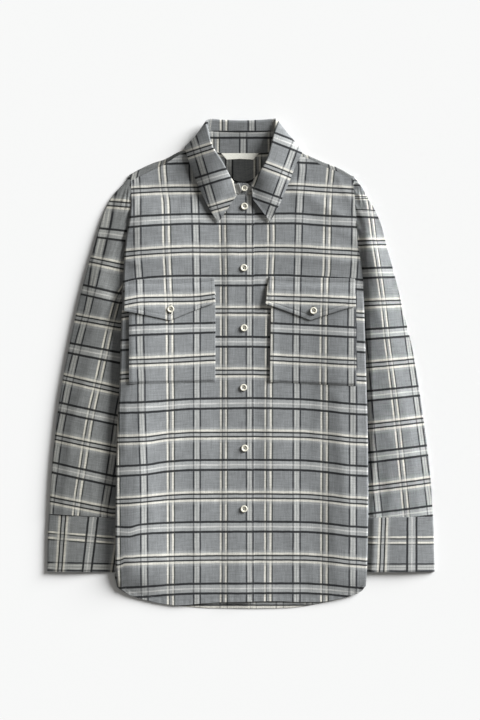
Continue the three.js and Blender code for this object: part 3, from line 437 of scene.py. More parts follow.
WARP_POCKET_LEFT = {
    0.5: [(118.4, 45.8), (-32, 44.2)],
    1: [(118.4, 89), (-32, 88)],
    1.5: [(118.4, 131.5), (-32, 130.9)],
    2: [(118.4, 176.3), (-32, 175.7)],
}
WEFT_POCKET_LEFT = {
    2: [(46.4, 106.2), (184, 99.8)],
    2.5: [(46.4, 57.6), (184, 50.2)],
    3: [(46.4, 9.3), (184, 1.9)],
    3.5: [(46.4, -39.4), (184, -47)],
}
WARP_FLAP_LEFT = {
    0.5: [(134.4, 46.7), (83.2, 45.8)],
    1: [(134.4, 90.2), (83.2, 89.3)],
    1.5: [(134.4, 133.4), (83.2, 132.2)],
    2: [(134.4, 178.9), (83.2, 177)],
}
WEFT_FLAP_LEFT = {
    1.5: [(40, 154.2), (110.4, 151), (182.4, 147.8)],
    2: [(40, 105.3), (110.4, 103), (182.4, 99.5)],
    2.5: [(40, 56.3), (110.4, 54.1), (182.4, 50.2)],
}
WARP_SLEEVE_RIGHT = {
    0: [
        (294.4, -204.8), (254.4, -212.5), (225.6, -216.6), (198.4, -222.4), (174.4, -227.5), (88, -244.5),
        (54.4, -253.8), (-27.2, -273.6), (-62.4, -280.8), (-116.8, -290.6), (-168, -297.6),
        (-236.8, -305.1),
    ],
    0.5: [
        (294.4, -132.8), (214.4, -148.8), (150.4, -171.2), (126.4, -184), (105.6, -196.8), (83.2, -203.8),
        (54.4, -210.9), (8, -220.8), (-32, -229.6), (-78.4, -240), (-120, -247.5), (-164.8, -253.8),
        (-208, -261), (-241.6, -264.8),
    ],
    1: [
        (294.4, -100.8), (214.4, -113.6), (150.4, -137.6), (105.6, -156.8), (8, -177.6), (-78.4, -195.2),
        (-147.2, -204.8), (-184, -210.4), (-236.8, -219.2),
    ],
}
WEFT_SLEEVE_RIGHT = {
    -0.5: [(-233.6, 308.8), (-176, 304.6)],
    0: [(-233.6, 258.2), (-176, 253.8)],
    0.5: [(-273.6, 215), (-226.1, 209.3), (-183, 204.3)],
    1: [(-289.6, 176.6), (-240.8, 166.4), (-189.3, 155.5)],
    1.5: [(-297.6, 129), (-252.8, 118.4), (-195.8, 104.6)],
    2: [(-305.6, 82.6), (-266.6, 74.6), (-194.9, 61.8)],
    2.5: [(-305.6, 32), (-274.6, 25.8), (-195.2, 10.4)],
    3: [(-321.6, -12.8), (-282.9, -22.2), (-195.7, -42.6)],
    3.5: [(-321.6, -62.4), (-291, -69.1), (-197.6, -89.9)],
    4: [(-321.6, -112), (-296.5, -117.1), (-199.5, -137.4)],
    4.5: [(-321.6, -160), (-301.8, -164.5), (-203.4, -187.4)],
    5: [(-321.6, -212.8), (-305.1, -215.8), (-207.2, -235.2)],
    5.5: [(-321.6, -260.8), (-207.2, -283.2)],
}
WARP_SLEEVE_LEFT = {
    -0.5: [(294.4, 161.6), (102.4, 177.6), (-243.2, 174.4)],
    0: [(294.4, 166.4), (182.4, 177.6), (54.4, 195.2), (-89.6, 206.4), (-212.8, 217.4), (-243.2, 220.8)],
    0.5: [
        (294.4, 200), (246.4, 206.4), (198.4, 211.8), (150.4, 218.9), (102.4, 225.6), (46.4, 231.4),
        (-57.6, 244.8), (-201.6, 259.8), (-243.2, 263.7),
    ],
    1: [
        (294.4, 228.8), (198.4, 241.6), (137.6, 252.3), (108.8, 256.6), (80, 260.8), (54.4, 264.3),
        (-57.6, 280), (-209.6, 299.7), (-243.2, 303.4),
    ],
}
WEFT_SLEEVE_LEFT = {
    -0.5: [(177.6, 289), (200, 289.6), (254.4, 284.8)],
    0.5: [(177.6, 243.8), (190.4, 242.9), (219.2, 241.1), (254.4, 239.4)],
    1: [(177.6, 193.3), (190.4, 193.1), (231, 193.9), (254.4, 194.4)],
    1.5: [(177.6, 145), (194.2, 145.1), (244.8, 146.4)],
    2: [(177.6, 95.4), (197.3, 96.2), (257.9, 98.7)],
    2.5: [(177.6, 45.8), (199, 47.2), (268.3, 52.3)],
    3: [(177.6, -4.2), (203.2, -2.2), (276.8, 4.5)],
    3.5: [(177.6, -53.4), (203.2, -51), (283.2, -42.9)],
    4: [(177.6, -103), (203.2, -100), (292.8, -89.6)],
    4.5: [(177.6, -152.6), (203.2, -149.4), (299.2, -137.6)],
    5: [(177.6, -202.6), (203.2, -199.4), (305.6, -186.2)],
    5.5: [(177.6, -250.6), (203.2, -247.2), (307.2, -233.8)],
    6: [(177.6, -299.2), (307.2, -283.2)],
}
# On the cuffs the cloth is turned a quarter, so the weft stripes run along the arm
CUFF_RIGHT_ALONG = {
    -0.5: [(-240, -329.6), (-331.2, -332.8)],
    0: [(-240, -282.9), (-331.2, -289.3)],
    0.5: [(-240, -235.4), (-331.2, -246.4)],
    1: [(-240, -188.8), (-331.2, -201.6)],
}
CUFF_RIGHT_ACROSS = {
    0: [(-308.8, -230.4), (-201.6, -232)],
    0.5: [(-308.8, -272), (-201.6, -281.6)],
    1: [(-308.8, -323.2), (-201.6, -324.8)],
    1.5: [(-308.8, -369.6), (-201.6, -371.2)],
}
CUFF_LEFT_ALONG = {
    -0.5: [(-240, 182.4), (-331.2, 177.6)],
    0: [(-240, 228), (-331.2, 224.5)],
    0.5: [(-240, 273), (-331.2, 272.6)],
    1: [(-240, 316.8), (-331.2, 319.2)],
}
CUFF_LEFT_ACROSS = {
    0: [(201.6, -235.2), (308.8, -235.2)],
    0.5: [(201.6, -281), (308.8, -281)],
    1: [(201.6, -324.8), (308.8, -324.8)],
    1.5: [(201.6, -369.6), (308.8, -369.6)],
}


def mix(a, b, t):
    return a + (b - a) * t


def ramp(start, end, v):
    """Smooth step: 0 before start, 1 after end."""
    t = np.clip((np.asarray(v, float) - start) / (end - start), 0, 1)
    return t * t * (3 - 2 * t)


def along(table, at, key=0, out=1):
    """Column out of a table at the places where its column key has the values at.

    A cubic through the rows. Its slopes are harmonic means of the slopes beside them, so it never overshoots.
    """
    t = np.asarray(table, float)
    t = t[np.argsort(t[:, key])]
    x, y = t[:, key], t[:, out]
    s = np.diff(y) / np.diff(x)
    both = s[:-1] * s[1:]
    total = s[:-1] + s[1:]
    inner = np.where(both > 0, 2 * both / np.where(both > 0, total, 1), 0)
    m = np.concatenate([s[:1], inner, s[-1:]])
    at = np.clip(at, x[0], x[-1])
    i = np.clip(np.searchsorted(x, at) - 1, 0, len(x) - 2)
    h = x[i + 1] - x[i]
    u = (at - x[i]) / h
    rise = (2 * u**3 - 3 * u**2 + 1) * y[i] + (3 * u**2 - 2 * u**3) * y[i + 1]
    return rise + (u**3 - 2 * u**2 + u) * m[i] * h + (u**3 - u**2) * m[i + 1] * h


def between(table, rows):
    """All columns at row numbers that may lie between rows: a Catmull-Rom curve through the rows."""
    t = np.asarray(table, float)
    rows = np.asarray(rows, float)
    n = len(t)
    i = np.clip(np.floor(rows).astype(int), 0, n - 2)
    u = (rows - i)[:, None]
    p0, p1, p2, p3 = t[np.clip(i - 1, 0, n - 1)], t[i], t[i + 1], t[np.clip(i + 2, 0, n - 1)]
    return p1 + 0.5 * u * (p2 - p0 + u * (2 * p0 - 5 * p1 + 4 * p2 - p3 + u * (3 * (p1 - p2) + p3 - p0)))


def stripes(chart, along_at, across_at):
    """The repeat number at each point, linear between the charted stripes on both sides of it."""
    numbers = np.array(sorted(chart))
    places = np.stack([along(chart[k], along_at) for k in numbers])
    start = places.reshape(len(numbers), -1)[:, 0]
    if start[0] > start[-1]:
        numbers, places = numbers[::-1], places[::-1]
    i = np.clip((places < across_at).sum(0) - 1, 0, len(numbers) - 2)
    low = np.take_along_axis(places, i[None], 0)[0]
    high = np.take_along_axis(places, i[None] + 1, 0)[0]
    return numbers[i] + (numbers[i + 1] - numbers[i]) * (across_at - low) / (high - low)


def woven(warp, weft, x, y):
    """UV map of a piece from its two charts."""
    x, y = np.broadcast_arrays(x, y)
    return np.stack([stripes(warp, y, x), stripes(weft, x, y)], -1)


def side_of(hand, y):
    return along(SIDE_LEFT if hand < 0 else SIDE_RIGHT, y, key=1, out=0)


def side_roll(y):
    """1 where a front rolls round the side to the back, 0 at the armhole and below the side seam."""
    return ramp(-329.6, -310.4, y) * (1 - ramp(108.8, 131.2, y))


def inside_by(x, y):
    return np.minimum(x - side_of(-1, y), side_of(1, y) - x)


def back_z(x, y):
    """Middle of the lowest layer: half a wall, raised over the tucked sleeves and the back of the collar."""
    across = 1 - ramp(SIDE_LIFT_WIDTH, SIDE_LIFT_WIDTH + SIDE_LIFT_FADE, inside_by(x, y))
    sleeve = SIDE_LIFT * across * (1 - ramp(88, 129.6, y)) * ramp(-380.8, -339.2, y)
    leaf = NECK_LIFT * (1 - ramp(89.6, 112, np.abs(x))) * ramp(294.4, 320, y)
    return WALL / 2 + sleeve + leaf


def ridges(table, x, y):
    """Sum of long soft ridges, each a bell along and across its line. A negative height makes a trough."""
    z = np.zeros(np.broadcast(x, y).shape)
    for cx, cy, long, wide, turn, high in table:
        a = math.radians(turn)
        dx, dy = x - cx, y - cy
        p = (dx * math.cos(a) + dy * math.sin(a)) / long
        q = (dy * math.cos(a) - dx * math.sin(a)) / wide
        z += high * np.exp(-p * p - q * q)
    return z


def top_of_front(x, y):
    return np.where(x < 0, along(FRONT_TOP_LEFT, x), along(FRONT_TOP_RIGHT, x)) - y


def side_puff(x, y):
    """The fronts swell a little along both sides below the armholes."""
    side = inside_by(x, y)
    across = np.where(x < 0, *SIDE_PUFF) * (0.72 + 0.28 * ramp(0, 24, side)) * (1 - ramp(20, 190, side))
    armhole = 1 - ramp(214.4, 283.2, y)
    return across * armhole * ramp(6, 34, top_of_front(x, y)) * ramp(-374.4, -313.6, y)


def front_z(x, y):
    """Middle of a front: one layer over the back, with its large folds and finer creases."""
    hem = y - along(FRONT_HEM, x)
    top = top_of_front(x, y)
    side = inside_by(x, y)
    folds = ridges(BODY_FOLDS, x, y) * ramp(0, 22, side) * ramp(0, 40, hem) * ramp(0, 16, top)
    fine = ridges(CREASES, x, y) * ramp(0, 7, side) * ramp(0, 5, top) * ramp(-2, 12, hem)
    return back_z(x, y) + FRONT_OVER_BACK + folds + fine + side_puff(x, y)


def top_front_z(x, y):
    return front_z(x, y) + PLACKET_STEP * ramp(PLACKET_FROM, PLACKET_TO, x)


def panel_z(x, y):
    return np.where(x < RIGHT_FRONT_EDGE, top_front_z(x, y), front_z(x, y))


def groove(distance, wide=0.9, deep=0.35):
    """Depth of the line that a row of stitches pulls into the cloth."""
    return -deep * np.exp(-((distance / wide) ** 2))


def spaced(low, high, step, *fine):
    """Stations from low to high, step apart, or closer inside each fine = (from, to, step)."""
    out = [low]
    while out[-1] < high - 1e-6:
        out.append(out[-1] + min([step] + [s for a, b, s in fine if a - s <= out[-1] <= b]))
    out[-1] = high
    return np.array(out)


def normals_of(grid, ring=False):
    if ring:
        across = np.roll(grid, -1, axis=1) - np.roll(grid, 1, axis=1)
    else:
        across = np.gradient(grid, axis=1)
    n = np.cross(across, np.gradient(grid, axis=0))
    return n / np.maximum(np.linalg.norm(n, axis=2, keepdims=True), 1e-9)


def rim(grid, upper, lower, ids, inner):
    """Points half way down an edge of the wall, pushed out by a third of its thickness to round it."""
    flat = grid.reshape(-1, 3)
    out = flat[ids] - flat[inner]
    out /= np.maximum(np.linalg.norm(out, axis=1, keepdims=True), 1e-9)
    thick = np.linalg.norm(upper[ids] - lower[ids], axis=1, keepdims=True)
    return (upper[ids] + lower[ids]) / 2 + out * thick * 0.33


def cloth_mesh(name, grid, cloth, up, down, ring=False):
    """A closed wall on a grid (m, n, 3): up above it, down below it, with rounded edges.

    cloth holds the UV map, (m, n, 2), or (m, n + 1, 2) on a ring, whose rows close and whose ends are open.
    Points that would lie lower than REST are raised to it.
    """
    m, n = grid.shape[:2]
    wide = cloth.shape[1]
    normal = normals_of(grid, ring)
    if normal[..., 2].sum() < 0 and not ring:
        normal = -normal
    upper = (grid + normal * up).reshape(-1, 3)
    lower = (grid - normal * down).reshape(-1, 3)
    i, j = np.meshgrid(np.arange(m - 1), np.arange(n if ring else n - 1), indexing="ij")
    corners = [(i, j), (i, j + 1), (i + 1, j + 1), (i + 1, j)]
    top = np.stack([a * n + b % n for a, b in corners], -1).reshape(-1, 4)
    top_uv = np.stack([a * wide + b for a, b in corners], -1).reshape(-1, 4)
    size = m * n
    faces, maps = [top, top[:, ::-1] + size], [top_uv, top_uv[:, ::-1]]
    points = [upper, lower]
    if ring:
        c = np.arange(n + 1)
        loops = [(0 * c, c, 0 * c + 1), (0 * c + m - 1, c[::-1], 0 * c + m - 2)]
        loops = [(a, b, a2, b) for a, b, a2 in loops]
    else:
        a = np.concatenate([
            np.zeros(n, int), np.arange(1, m), np.full(n - 1, m - 1), np.arange(m - 2, -1, -1),
        ])
        b = np.concatenate([
            np.arange(n), np.full(m - 1, n - 1), np.arange(n - 2, -1, -1), np.zeros(m - 1, int),
        ])
        loops = [(a, b, np.clip(a, 1, m - 2), np.clip(b, 1, n - 2))]
    count = 2 * size
    for a, b, a2, b2 in loops:
        ids, inner, uv = a * n + b % n, a2 * n + b2 % n, a * wide + b
        middle = rim(grid, upper, lower, ids[:-1], inner[:-1])
        mids = count + np.append(np.arange(len(middle)), 0)
        points.append(middle)
        count += len(middle)
        p, q = slice(None, -1), slice(1, None)
        faces += [
            np.stack([ids[q], ids[p], mids[p], mids[q]], -1),
            np.stack([mids[q], mids[p], ids[p] + size, ids[q] + size], -1),
        ]
        maps += [np.stack([uv[q], uv[p], uv[p], uv[q]], -1)] * 2
    points, faces, maps = np.concatenate(points), np.concatenate(faces), np.concatenate(maps)
    points[:, 2] = np.maximum(points[:, 2], REST)
    return mesh_object(name, points * MM, faces, cloth.reshape(-1, 2)[maps.ravel()])


def mesh_object(name, points, faces, uv=None, sharp=50):
    """A mesh object at the origin, turned outwards, from points in metres and faces of one size."""
    v = points[faces]
    turned = np.cross(v[:, 1] - v[:, 0], v[:, 2] - v[:, 0])
    if faces.shape[1] == 4:
        turned = turned + np.cross(v[:, 2] - v[:, 0], v[:, 3] - v[:, 0])
    if (v[:, 0] * turned).sum() < 0:
        faces = faces[:, ::-1]
        if uv is not None:
            uv = uv.reshape(len(faces), -1, 2)[:, ::-1].reshape(-1, 2)
    mesh = bpy.data.meshes.new(name)
    size = faces.shape[1]
    mesh.vertices.add(len(points))
    mesh.vertices.foreach_set("co", np.ascontiguousarray(points, dtype=np.float32).ravel())
    mesh.loops.add(faces.size)
    mesh.loops.foreach_set("vertex_index", np.ascontiguousarray(faces, dtype=np.int32).ravel())
    mesh.polygons.add(len(faces))
    mesh.polygons.foreach_set("loop_start", np.arange(0, faces.size, size, dtype=np.int32))
    mesh.polygons.foreach_set("loop_total", np.full(len(faces), size, dtype=np.int32))
    mesh.polygons.foreach_set("use_smooth", np.ones(len(faces), dtype=bool))
    mesh.update(calc_edges=True)
    if uv is not None:
        layer = mesh.uv_layers.new(name="cloth")
        layer.data.foreach_set("uv", np.ascontiguousarray(uv, dtype=np.float32).ravel())
    mesh.set_sharp_from_angle(angle=math.radians(sharp))
    obj = bpy.data.objects.new(name, mesh)
    bpy.context.scene.collection.objects.link(obj)
    return obj


# Materials


def link(tree, a, b):
    tree.links.new(a, b)


def math_node(tree, kind, a, b=None, c=None):
    node = tree.nodes.new("ShaderNodeMath")
    node.operation = kind
    for socket, value in zip(node.inputs, (a, b, c)):
        if isinstance(value, (int, float)):
            socket.default_value = value
        elif value is not None:
            link(tree, value, socket)
    return node.outputs[0]


def colour_ramp(tree, factor, stops, kind="LINEAR"):
    """A ramp through stops of (place, rgba)."""
    node = tree.nodes.new("ShaderNodeValToRGB")
    node.color_ramp.interpolation = kind
    link(tree, factor, node.inputs[0])
    elements = node.color_ramp.elements
    while len(elements) > 1:
        elements.remove(elements[-1])
    elements[0].position, elements[0].color = stops[0]
    for place, rgba in stops[1:]:
        element = elements.new(place)
        element.color = rgba
    return node


def noise_node(tree, vector, scale, detail):
    node = tree.nodes.new("ShaderNodeTexNoise")
    node.inputs["Scale"].default_value = scale
    node.inputs["Detail"].default_value = detail
    link(tree, vector, node.inputs["Vector"])
    return node


def scaled(tree, vector, scale):
    node = tree.nodes.new("ShaderNodeMapping")
    node.inputs["Scale"].default_value = scale
    link(tree, vector, node.inputs["Vector"])
    return node.outputs[0]


def mix_colour(tree, factor, a, b, blend="MIX"):
    node = tree.nodes.new("ShaderNodeMix")
    node.data_type = "RGBA"
    node.blend_type = blend
    for socket, value in ((node.inputs[0], factor), (node.inputs[6], a), (node.inputs[7], b)):
        if isinstance(value, (int, float, tuple)):
            socket.default_value = value
        else:
            link(tree, value, socket)
    return node.outputs[2]


# Colours of the stripes
GREY = (0.235, 0.245, 0.25)
LIGHT = (0.43, 0.44, 0.435)
PALE = (0.62, 0.62, 0.60)
CREAM = (0.715, 0.695, 0.625)
BLACK = (0.012, 0.013, 0.015)
DARK = (0.05, 0.055, 0.055)
MID = (0.29, 0.295, 0.295)
INK = (0.03, 0.032, 0.036)
SOFT = (0.335, 0.343, 0.34)
FAINT = (0.52, 0.525, 0.50)
# How far the stripes wander, in repeats, and where a repeat starts: a quarter before a whole number, so that
# both stripe groups lie well inside the ramp, less the mean of the wander. The hundred keeps it above 0
WANDER = 0.008
REPEAT_START = 100.25 - WANDER / 2


def band_ramp(tree, at, repeat, ground, groups):
    """Colour and cover at a place 0 to 1 in the repeat, from a stripe group in each half of it.

    A group is a list of (from, to, colour, cover), offsets in mm from the middle of its half.
    """
    half = math_node(tree, "FRACT", math_node(tree, "MULTIPLY", at, 2.0))
    made = []
    for parts in groups:
        stops = [(0.0, (*ground[0], ground[1]))]
        for start, end, colour, cover in parts:
            soft = min(0.28, (end - start) / 3)
            for place in (start + soft, end - soft):
                stops.append((0.5 + 2 * place / repeat, (*colour, cover)))
        stops.append((1.0, (*ground[0], ground[1])))
        made.append(colour_ramp(tree, half, stops))
    second = math_node(tree, "GREATER_THAN", at, 0.5)
    colour = mix_colour(tree, second, made[0].outputs["Color"], made[1].outputs["Color"])
    cover = math_node(tree, "SUBTRACT", made[1].outputs["Alpha"], made[0].outputs["Alpha"])
    return colour, math_node(tree, "MULTIPLY_ADD", second, cover, made[0].outputs["Alpha"])


def plaid_group():
    """Colour and height of the woven check at a point of the cloth map, from its repeat numbers."""
    tree = bpy.data.node_groups.new("flannel check", "ShaderNodeTree")
    tree.interface.new_socket("Map", in_out="INPUT", socket_type="NodeSocketVector")
    tree.interface.new_socket("Color", in_out="OUTPUT", socket_type="NodeSocketColor")
    tree.interface.new_socket("Height", in_out="OUTPUT", socket_type="NodeSocketFloat")
    into, out = tree.nodes.new("NodeGroupInput"), tree.nodes.new("NodeGroupOutput")
    split = tree.nodes.new("ShaderNodeSeparateXYZ")
    wobble = noise_node(tree, into.outputs[0], 9.0, 1.0)
    shift = tree.nodes.new("ShaderNodeVectorMath")
    shift.operation = "MULTIPLY_ADD"
    link(tree, wobble.outputs["Color"], shift.inputs[0])
    shift.inputs[1].default_value = (WANDER, WANDER, 0)
    link(tree, into.outputs[0], shift.inputs[2])
    link(tree, shift.outputs[0], split.inputs[0])
    u, v = split.outputs[0], split.outputs[1]
    warp_at = math_node(tree, "FRACT", math_node(tree, "ADD", u, REPEAT_START))
    weft_at = math_node(tree, "FRACT", math_node(tree, "ADD", v, REPEAT_START))
    warp, _ = band_ramp(tree, warp_at, WARP_REPEAT, (GREY, 1), [
        [
            (-8.8, -7.0, GREY, 1), (-6.8, -4.6, INK, 1), (-4.3, -3.0, SOFT, 1), (-2.6, -1.5, FAINT, 1),
            (-1.1, 1.1, SOFT, 1), (1.5, 2.6, FAINT, 1), (3.0, 4.3, SOFT, 1), (4.6, 6.8, INK, 1),
            (7.0, 8.8, GREY, 1),
        ],
        [
            (-8.5, -6.1, GREY, 1), (-5.7, -3.4, CREAM, 1), (-2.8, -1.1, DARK, 1), (-0.8, 2.6, MID, 1),
            (3.3, 5.6, CREAM, 1), (6.2, 7.9, DARK, 1), (8.2, 11.5, GREY, 1),
        ],
    ])
    weft, over = band_ramp(tree, weft_at, WEFT_REPEAT, (GREY, 0), [
        [
            (-17.0, -14.0, GREY, 0.0), (-11.0, -8.6, LIGHT, 0.45), (-8.1, -5.0, CREAM, 0.86),
            (-4.5, -2.2, BLACK, 0.95), (-2.0, 2.0, LIGHT, 0.62), (2.2, 4.5, BLACK, 0.95),
            (5.0, 8.1, CREAM, 0.86), (8.6, 11.0, LIGHT, 0.45), (14.0, 17.0, GREY, 0.0),
        ],
        [
            (-11.5, -10.0, GREY, 0.0), (-9.6, -6.1, BLACK, 0.97), (-5.9, -1.3, LIGHT, 0.6),
            (-0.9, 0.9, PALE, 0.85), (1.3, 5.9, LIGHT, 0.6), (6.1, 9.6, BLACK, 0.97), (10.0, 11.5, GREY, 0.0),
        ],
    ])
    # twill: the threads change places along fine diagonals
    slant = math_node(tree, "MULTIPLY", u, WARP_THREADS)
    slant = math_node(tree, "ADD", slant, math_node(tree, "MULTIPLY", v, WEFT_THREADS))
    twill = math_node(tree, "SINE", math_node(tree, "MULTIPLY", slant, 2 * math.pi))
    rib = math_node(tree, "SINE", math_node(tree, "MULTIPLY", u, 2 * math.pi * WARP_THREADS))
    # a black warp thread shows through whatever crosses it
    tone = tree.nodes.new("ShaderNodeSeparateColor")
    link(tree, warp, tone.inputs[0])
    through = tree.nodes.new("ShaderNodeMapRange")
    through.inputs["From Max"].default_value = 0.2
    through.inputs["To Min"].default_value = 0.5
    link(tree, tone.outputs[1], through.inputs["Value"])
    share = math_node(tree, "MULTIPLY", over, math_node(tree, "MULTIPLY_ADD", twill, 0.06, 0.97))
    share = math_node(tree, "MULTIPLY", share, through.outputs[0])
    colour = mix_colour(tree, share, warp, weft)
    # melange of the yarn and the brushed nap
    fine = noise_node(tree, scaled(tree, into.outputs[0], (1.0, 2.2, 1.0)), 46.0, 4.0)
    fine.inputs["Roughness"].default_value = 0.65
    soft = noise_node(tree, into.outputs[0], 5.0, 2.0)
    tone = math_node(tree, "MULTIPLY_ADD", fine.outputs["Fac"], 0.8, 0.60)
    tone = math_node(tree, "MULTIPLY_ADD", soft.outputs["Fac"], 0.12, math_node(tree, "SUBTRACT", tone, 0.06))
    tone = math_node(tree, "MULTIPLY_ADD", twill, 0.07, tone)
    for stretched in ((46.0, 4.0, 1.0), (4.0, 50.0, 1.0)):
        slub = noise_node(tree, scaled(tree, into.outputs[0], stretched), 1.0, 2.0)
        tone = math_node(tree, "SUBTRACT", tone, 0.31)
        tone = math_node(tree, "MULTIPLY_ADD", slub.outputs["Fac"], 0.62, tone)
    white = tree.nodes.new("ShaderNodeCombineColor")
    for socket in white.inputs:
        link(tree, tone, socket)
    colour = mix_colour(tree, 1.0, colour, white.outputs[0], "MULTIPLY")
    link(tree, colour, out.inputs[0])
    height = math_node(tree, "MULTIPLY", twill, 0.35)
    height = math_node(tree, "MULTIPLY_ADD", fine.outputs["Fac"], 1.2, height)
    height = math_node(tree, "MULTIPLY_ADD", rib, 0.15, height)
    link(tree, height, out.inputs[1])
    return tree


PLAID = plaid_group()


def cloth_material(name):
    """Brushed flannel: the check as colour, its threads and nap as bump, a soft dry sheen."""
    material = bpy.data.materials.new(name)
    material.use_nodes = True
    tree = material.node_tree
    shader = tree.nodes["Principled BSDF"]
    shader.inputs["Roughness"].default_value = 0.92
    shader.inputs["Sheen Weight"].default_value = 0.12
    shader.inputs["Sheen Roughness"].default_value = 0.55
    shader.inputs["Specular IOR Level"].default_value = 0.15
    uv = tree.nodes.new("ShaderNodeUVMap")
    uv.uv_map = "cloth"
    group = tree.nodes.new("ShaderNodeGroup")
    group.node_tree = PLAID
    link(tree, uv.outputs[0], group.inputs[0])
    link(tree, group.outputs[0], shader.inputs["Base Color"])
    bump = tree.nodes.new("ShaderNodeBump")
    bump.inputs["Strength"].default_value = 0.5
    bump.inputs["Distance"].default_value = 0.0004
    link(tree, group.outputs[1], bump.inputs["Height"])
    link(tree, bump.outputs[0], shader.inputs["Normal"])
    return material


def plain_material(name, colour, roughness, grain=(900.0, 0.12), bump=0.0002, coat=0.0):
    """One colour with a grain in tone and height. grain is the grain's scale and its share of the tone."""
    material = bpy.data.materials.new(name)
    material.use_nodes = True
    tree = material.node_tree
    shader = tree.nodes["Principled BSDF"]
    shader.inputs["Roughness"].default_value = roughness
    shader.inputs["Coat Weight"].default_value = coat
    where = tree.nodes.new("ShaderNodeTexCoord")
    noise = noise_node(tree, where.outputs["Object"], grain[0], 3.0)
    dark = tuple(c * (1 - grain[1]) for c in colour)
    light = tuple(min(1.0, c * (1 + grain[1])) for c in colour)
    tone = colour_ramp(tree, noise.outputs["Fac"], [(0.3, (*dark, 1)), (0.7, (*light, 1))])
    link(tree, tone.outputs["Color"], shader.inputs["Base Color"])
    height = tree.nodes.new("ShaderNodeBump")
    height.inputs["Strength"].default_value = 0.4
    height.inputs["Distance"].default_value = bump
    link(tree, noise.outputs["Fac"], height.inputs["Height"])
    link(tree, height.outputs[0], shader.inputs["Normal"])
    return material


FLANNEL = cloth_material("flannel")
TAPE = plain_material("woven tape", (0.72, 0.71, 0.64), 0.85)
IVORY = plain_material("ivory button", (0.74, 0.71, 0.60), 0.32, grain=(260.0, 0.05), bump=0.00005, coat=0.3)
THREAD = plain_material("grey thread", (0.20, 0.205, 0.21), 0.8)
DARK_THREAD = plain_material("dark thread", (0.05, 0.05, 0.052), 0.8)


def dress(obj, material, node=None):
    obj.data.materials.append(material)
    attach(obj, "root")
    if node:
        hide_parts(node)
    return obj


def cloth_piece(
    node, grid, cloth, up=WALL / 2, down=0.35, ring=False,
):
    """A cloth piece in place of its CAD node."""
    obj = cloth_mesh("cloth_" + node, grid, cloth, up, down, ring)
    dress(obj, FLANNEL, node)
    return obj


# Stitching


def stitch_run(points, normals, pitch=3.2, length=2.3, thick=0.5):
    """Stitches as slim six-point lozenges, pitch mm apart along a line on the cloth."""
    step = np.linalg.norm(np.diff(points, axis=0), axis=1)
    s = np.concatenate([[0], np.cumsum(step)])
    at = np.arange(pitch / 2, s[-1], pitch)
    place = np.stack([np.interp(at, s, points[:, k]) for k in range(3)], -1)
    ahead = np.stack([np.interp(at + 0.5, s, points[:, k]) for k in range(3)], -1)
    behind = np.stack([np.interp(at - 0.5, s, points[:, k]) for k in range(3)], -1)
    up = np.stack([np.interp(at, s, normals[:, k]) for k in range(3)], -1)
    t = ahead - behind
    t /= np.maximum(np.linalg.norm(t, axis=1, keepdims=True), 1e-9)
    b = np.cross(up, t)
    corners = [
        t * length / 2, b * thick / 2, -t * length / 2, -b * thick / 2, up * thick * 0.6, -up * thick * 0.5,
    ]
    verts = np.stack([place + c for c in corners], 1)
    tri = np.array([[0, 1, 4], [1, 2, 4], [2, 3, 4], [3, 0, 4], [1, 0, 5], [2, 1, 5], [3, 2, 5], [0, 3, 5]])
    faces = (np.arange(len(at))[:, None, None] * 6 + tri).reshape(-1, 3)
    return verts.reshape(-1, 3), faces


def on_surface(xy, height, lift):
    """Points of a line (x, y) on a height function, closely spaced, and the normals there."""
    xy = np.asarray(xy, float)
    s = np.concatenate([[0], np.cumsum(np.linalg.norm(np.diff(xy, axis=0), axis=1))])
    at = np.arange(0, s[-1], 1.5)
    x, y = np.interp(at, s, xy[:, 0]), np.interp(at, s, xy[:, 1])
    z = height(x, y)
    e = 0.6
    nx = -(height(x + e, y) - height(x - e, y)) / (2 * e)
    ny = -(height(x, y + e) - height(x, y - e)) / (2 * e)
    n = np.stack([nx, ny, np.ones_like(nx)], -1)
    n /= np.linalg.norm(n, axis=1, keepdims=True)
    return np.stack([x, y, z], -1) + n * lift, n


def stitching(name, runs, material=None):
    """All stitch runs of a piece as one mesh."""
    points, faces, count = [], [], 0
    for p, n in runs:
        v, f = stitch_run(p, n)
        if len(v):
            points.append(v)
            faces.append(f + count)
            count += len(v)
    obj = mesh_object(name, np.concatenate(points) * MM, np.concatenate(faces), sharp=30)
    return dress(obj, material or THREAD)


# Body

# Lengths that the rows of the fronts and of the back are spaced for, and first guesses of their ends in y
FRONT_LONG = 650
BACK_LONG = 620
HEM_GUESS = -369.6
TOP_GUESS = 297.6


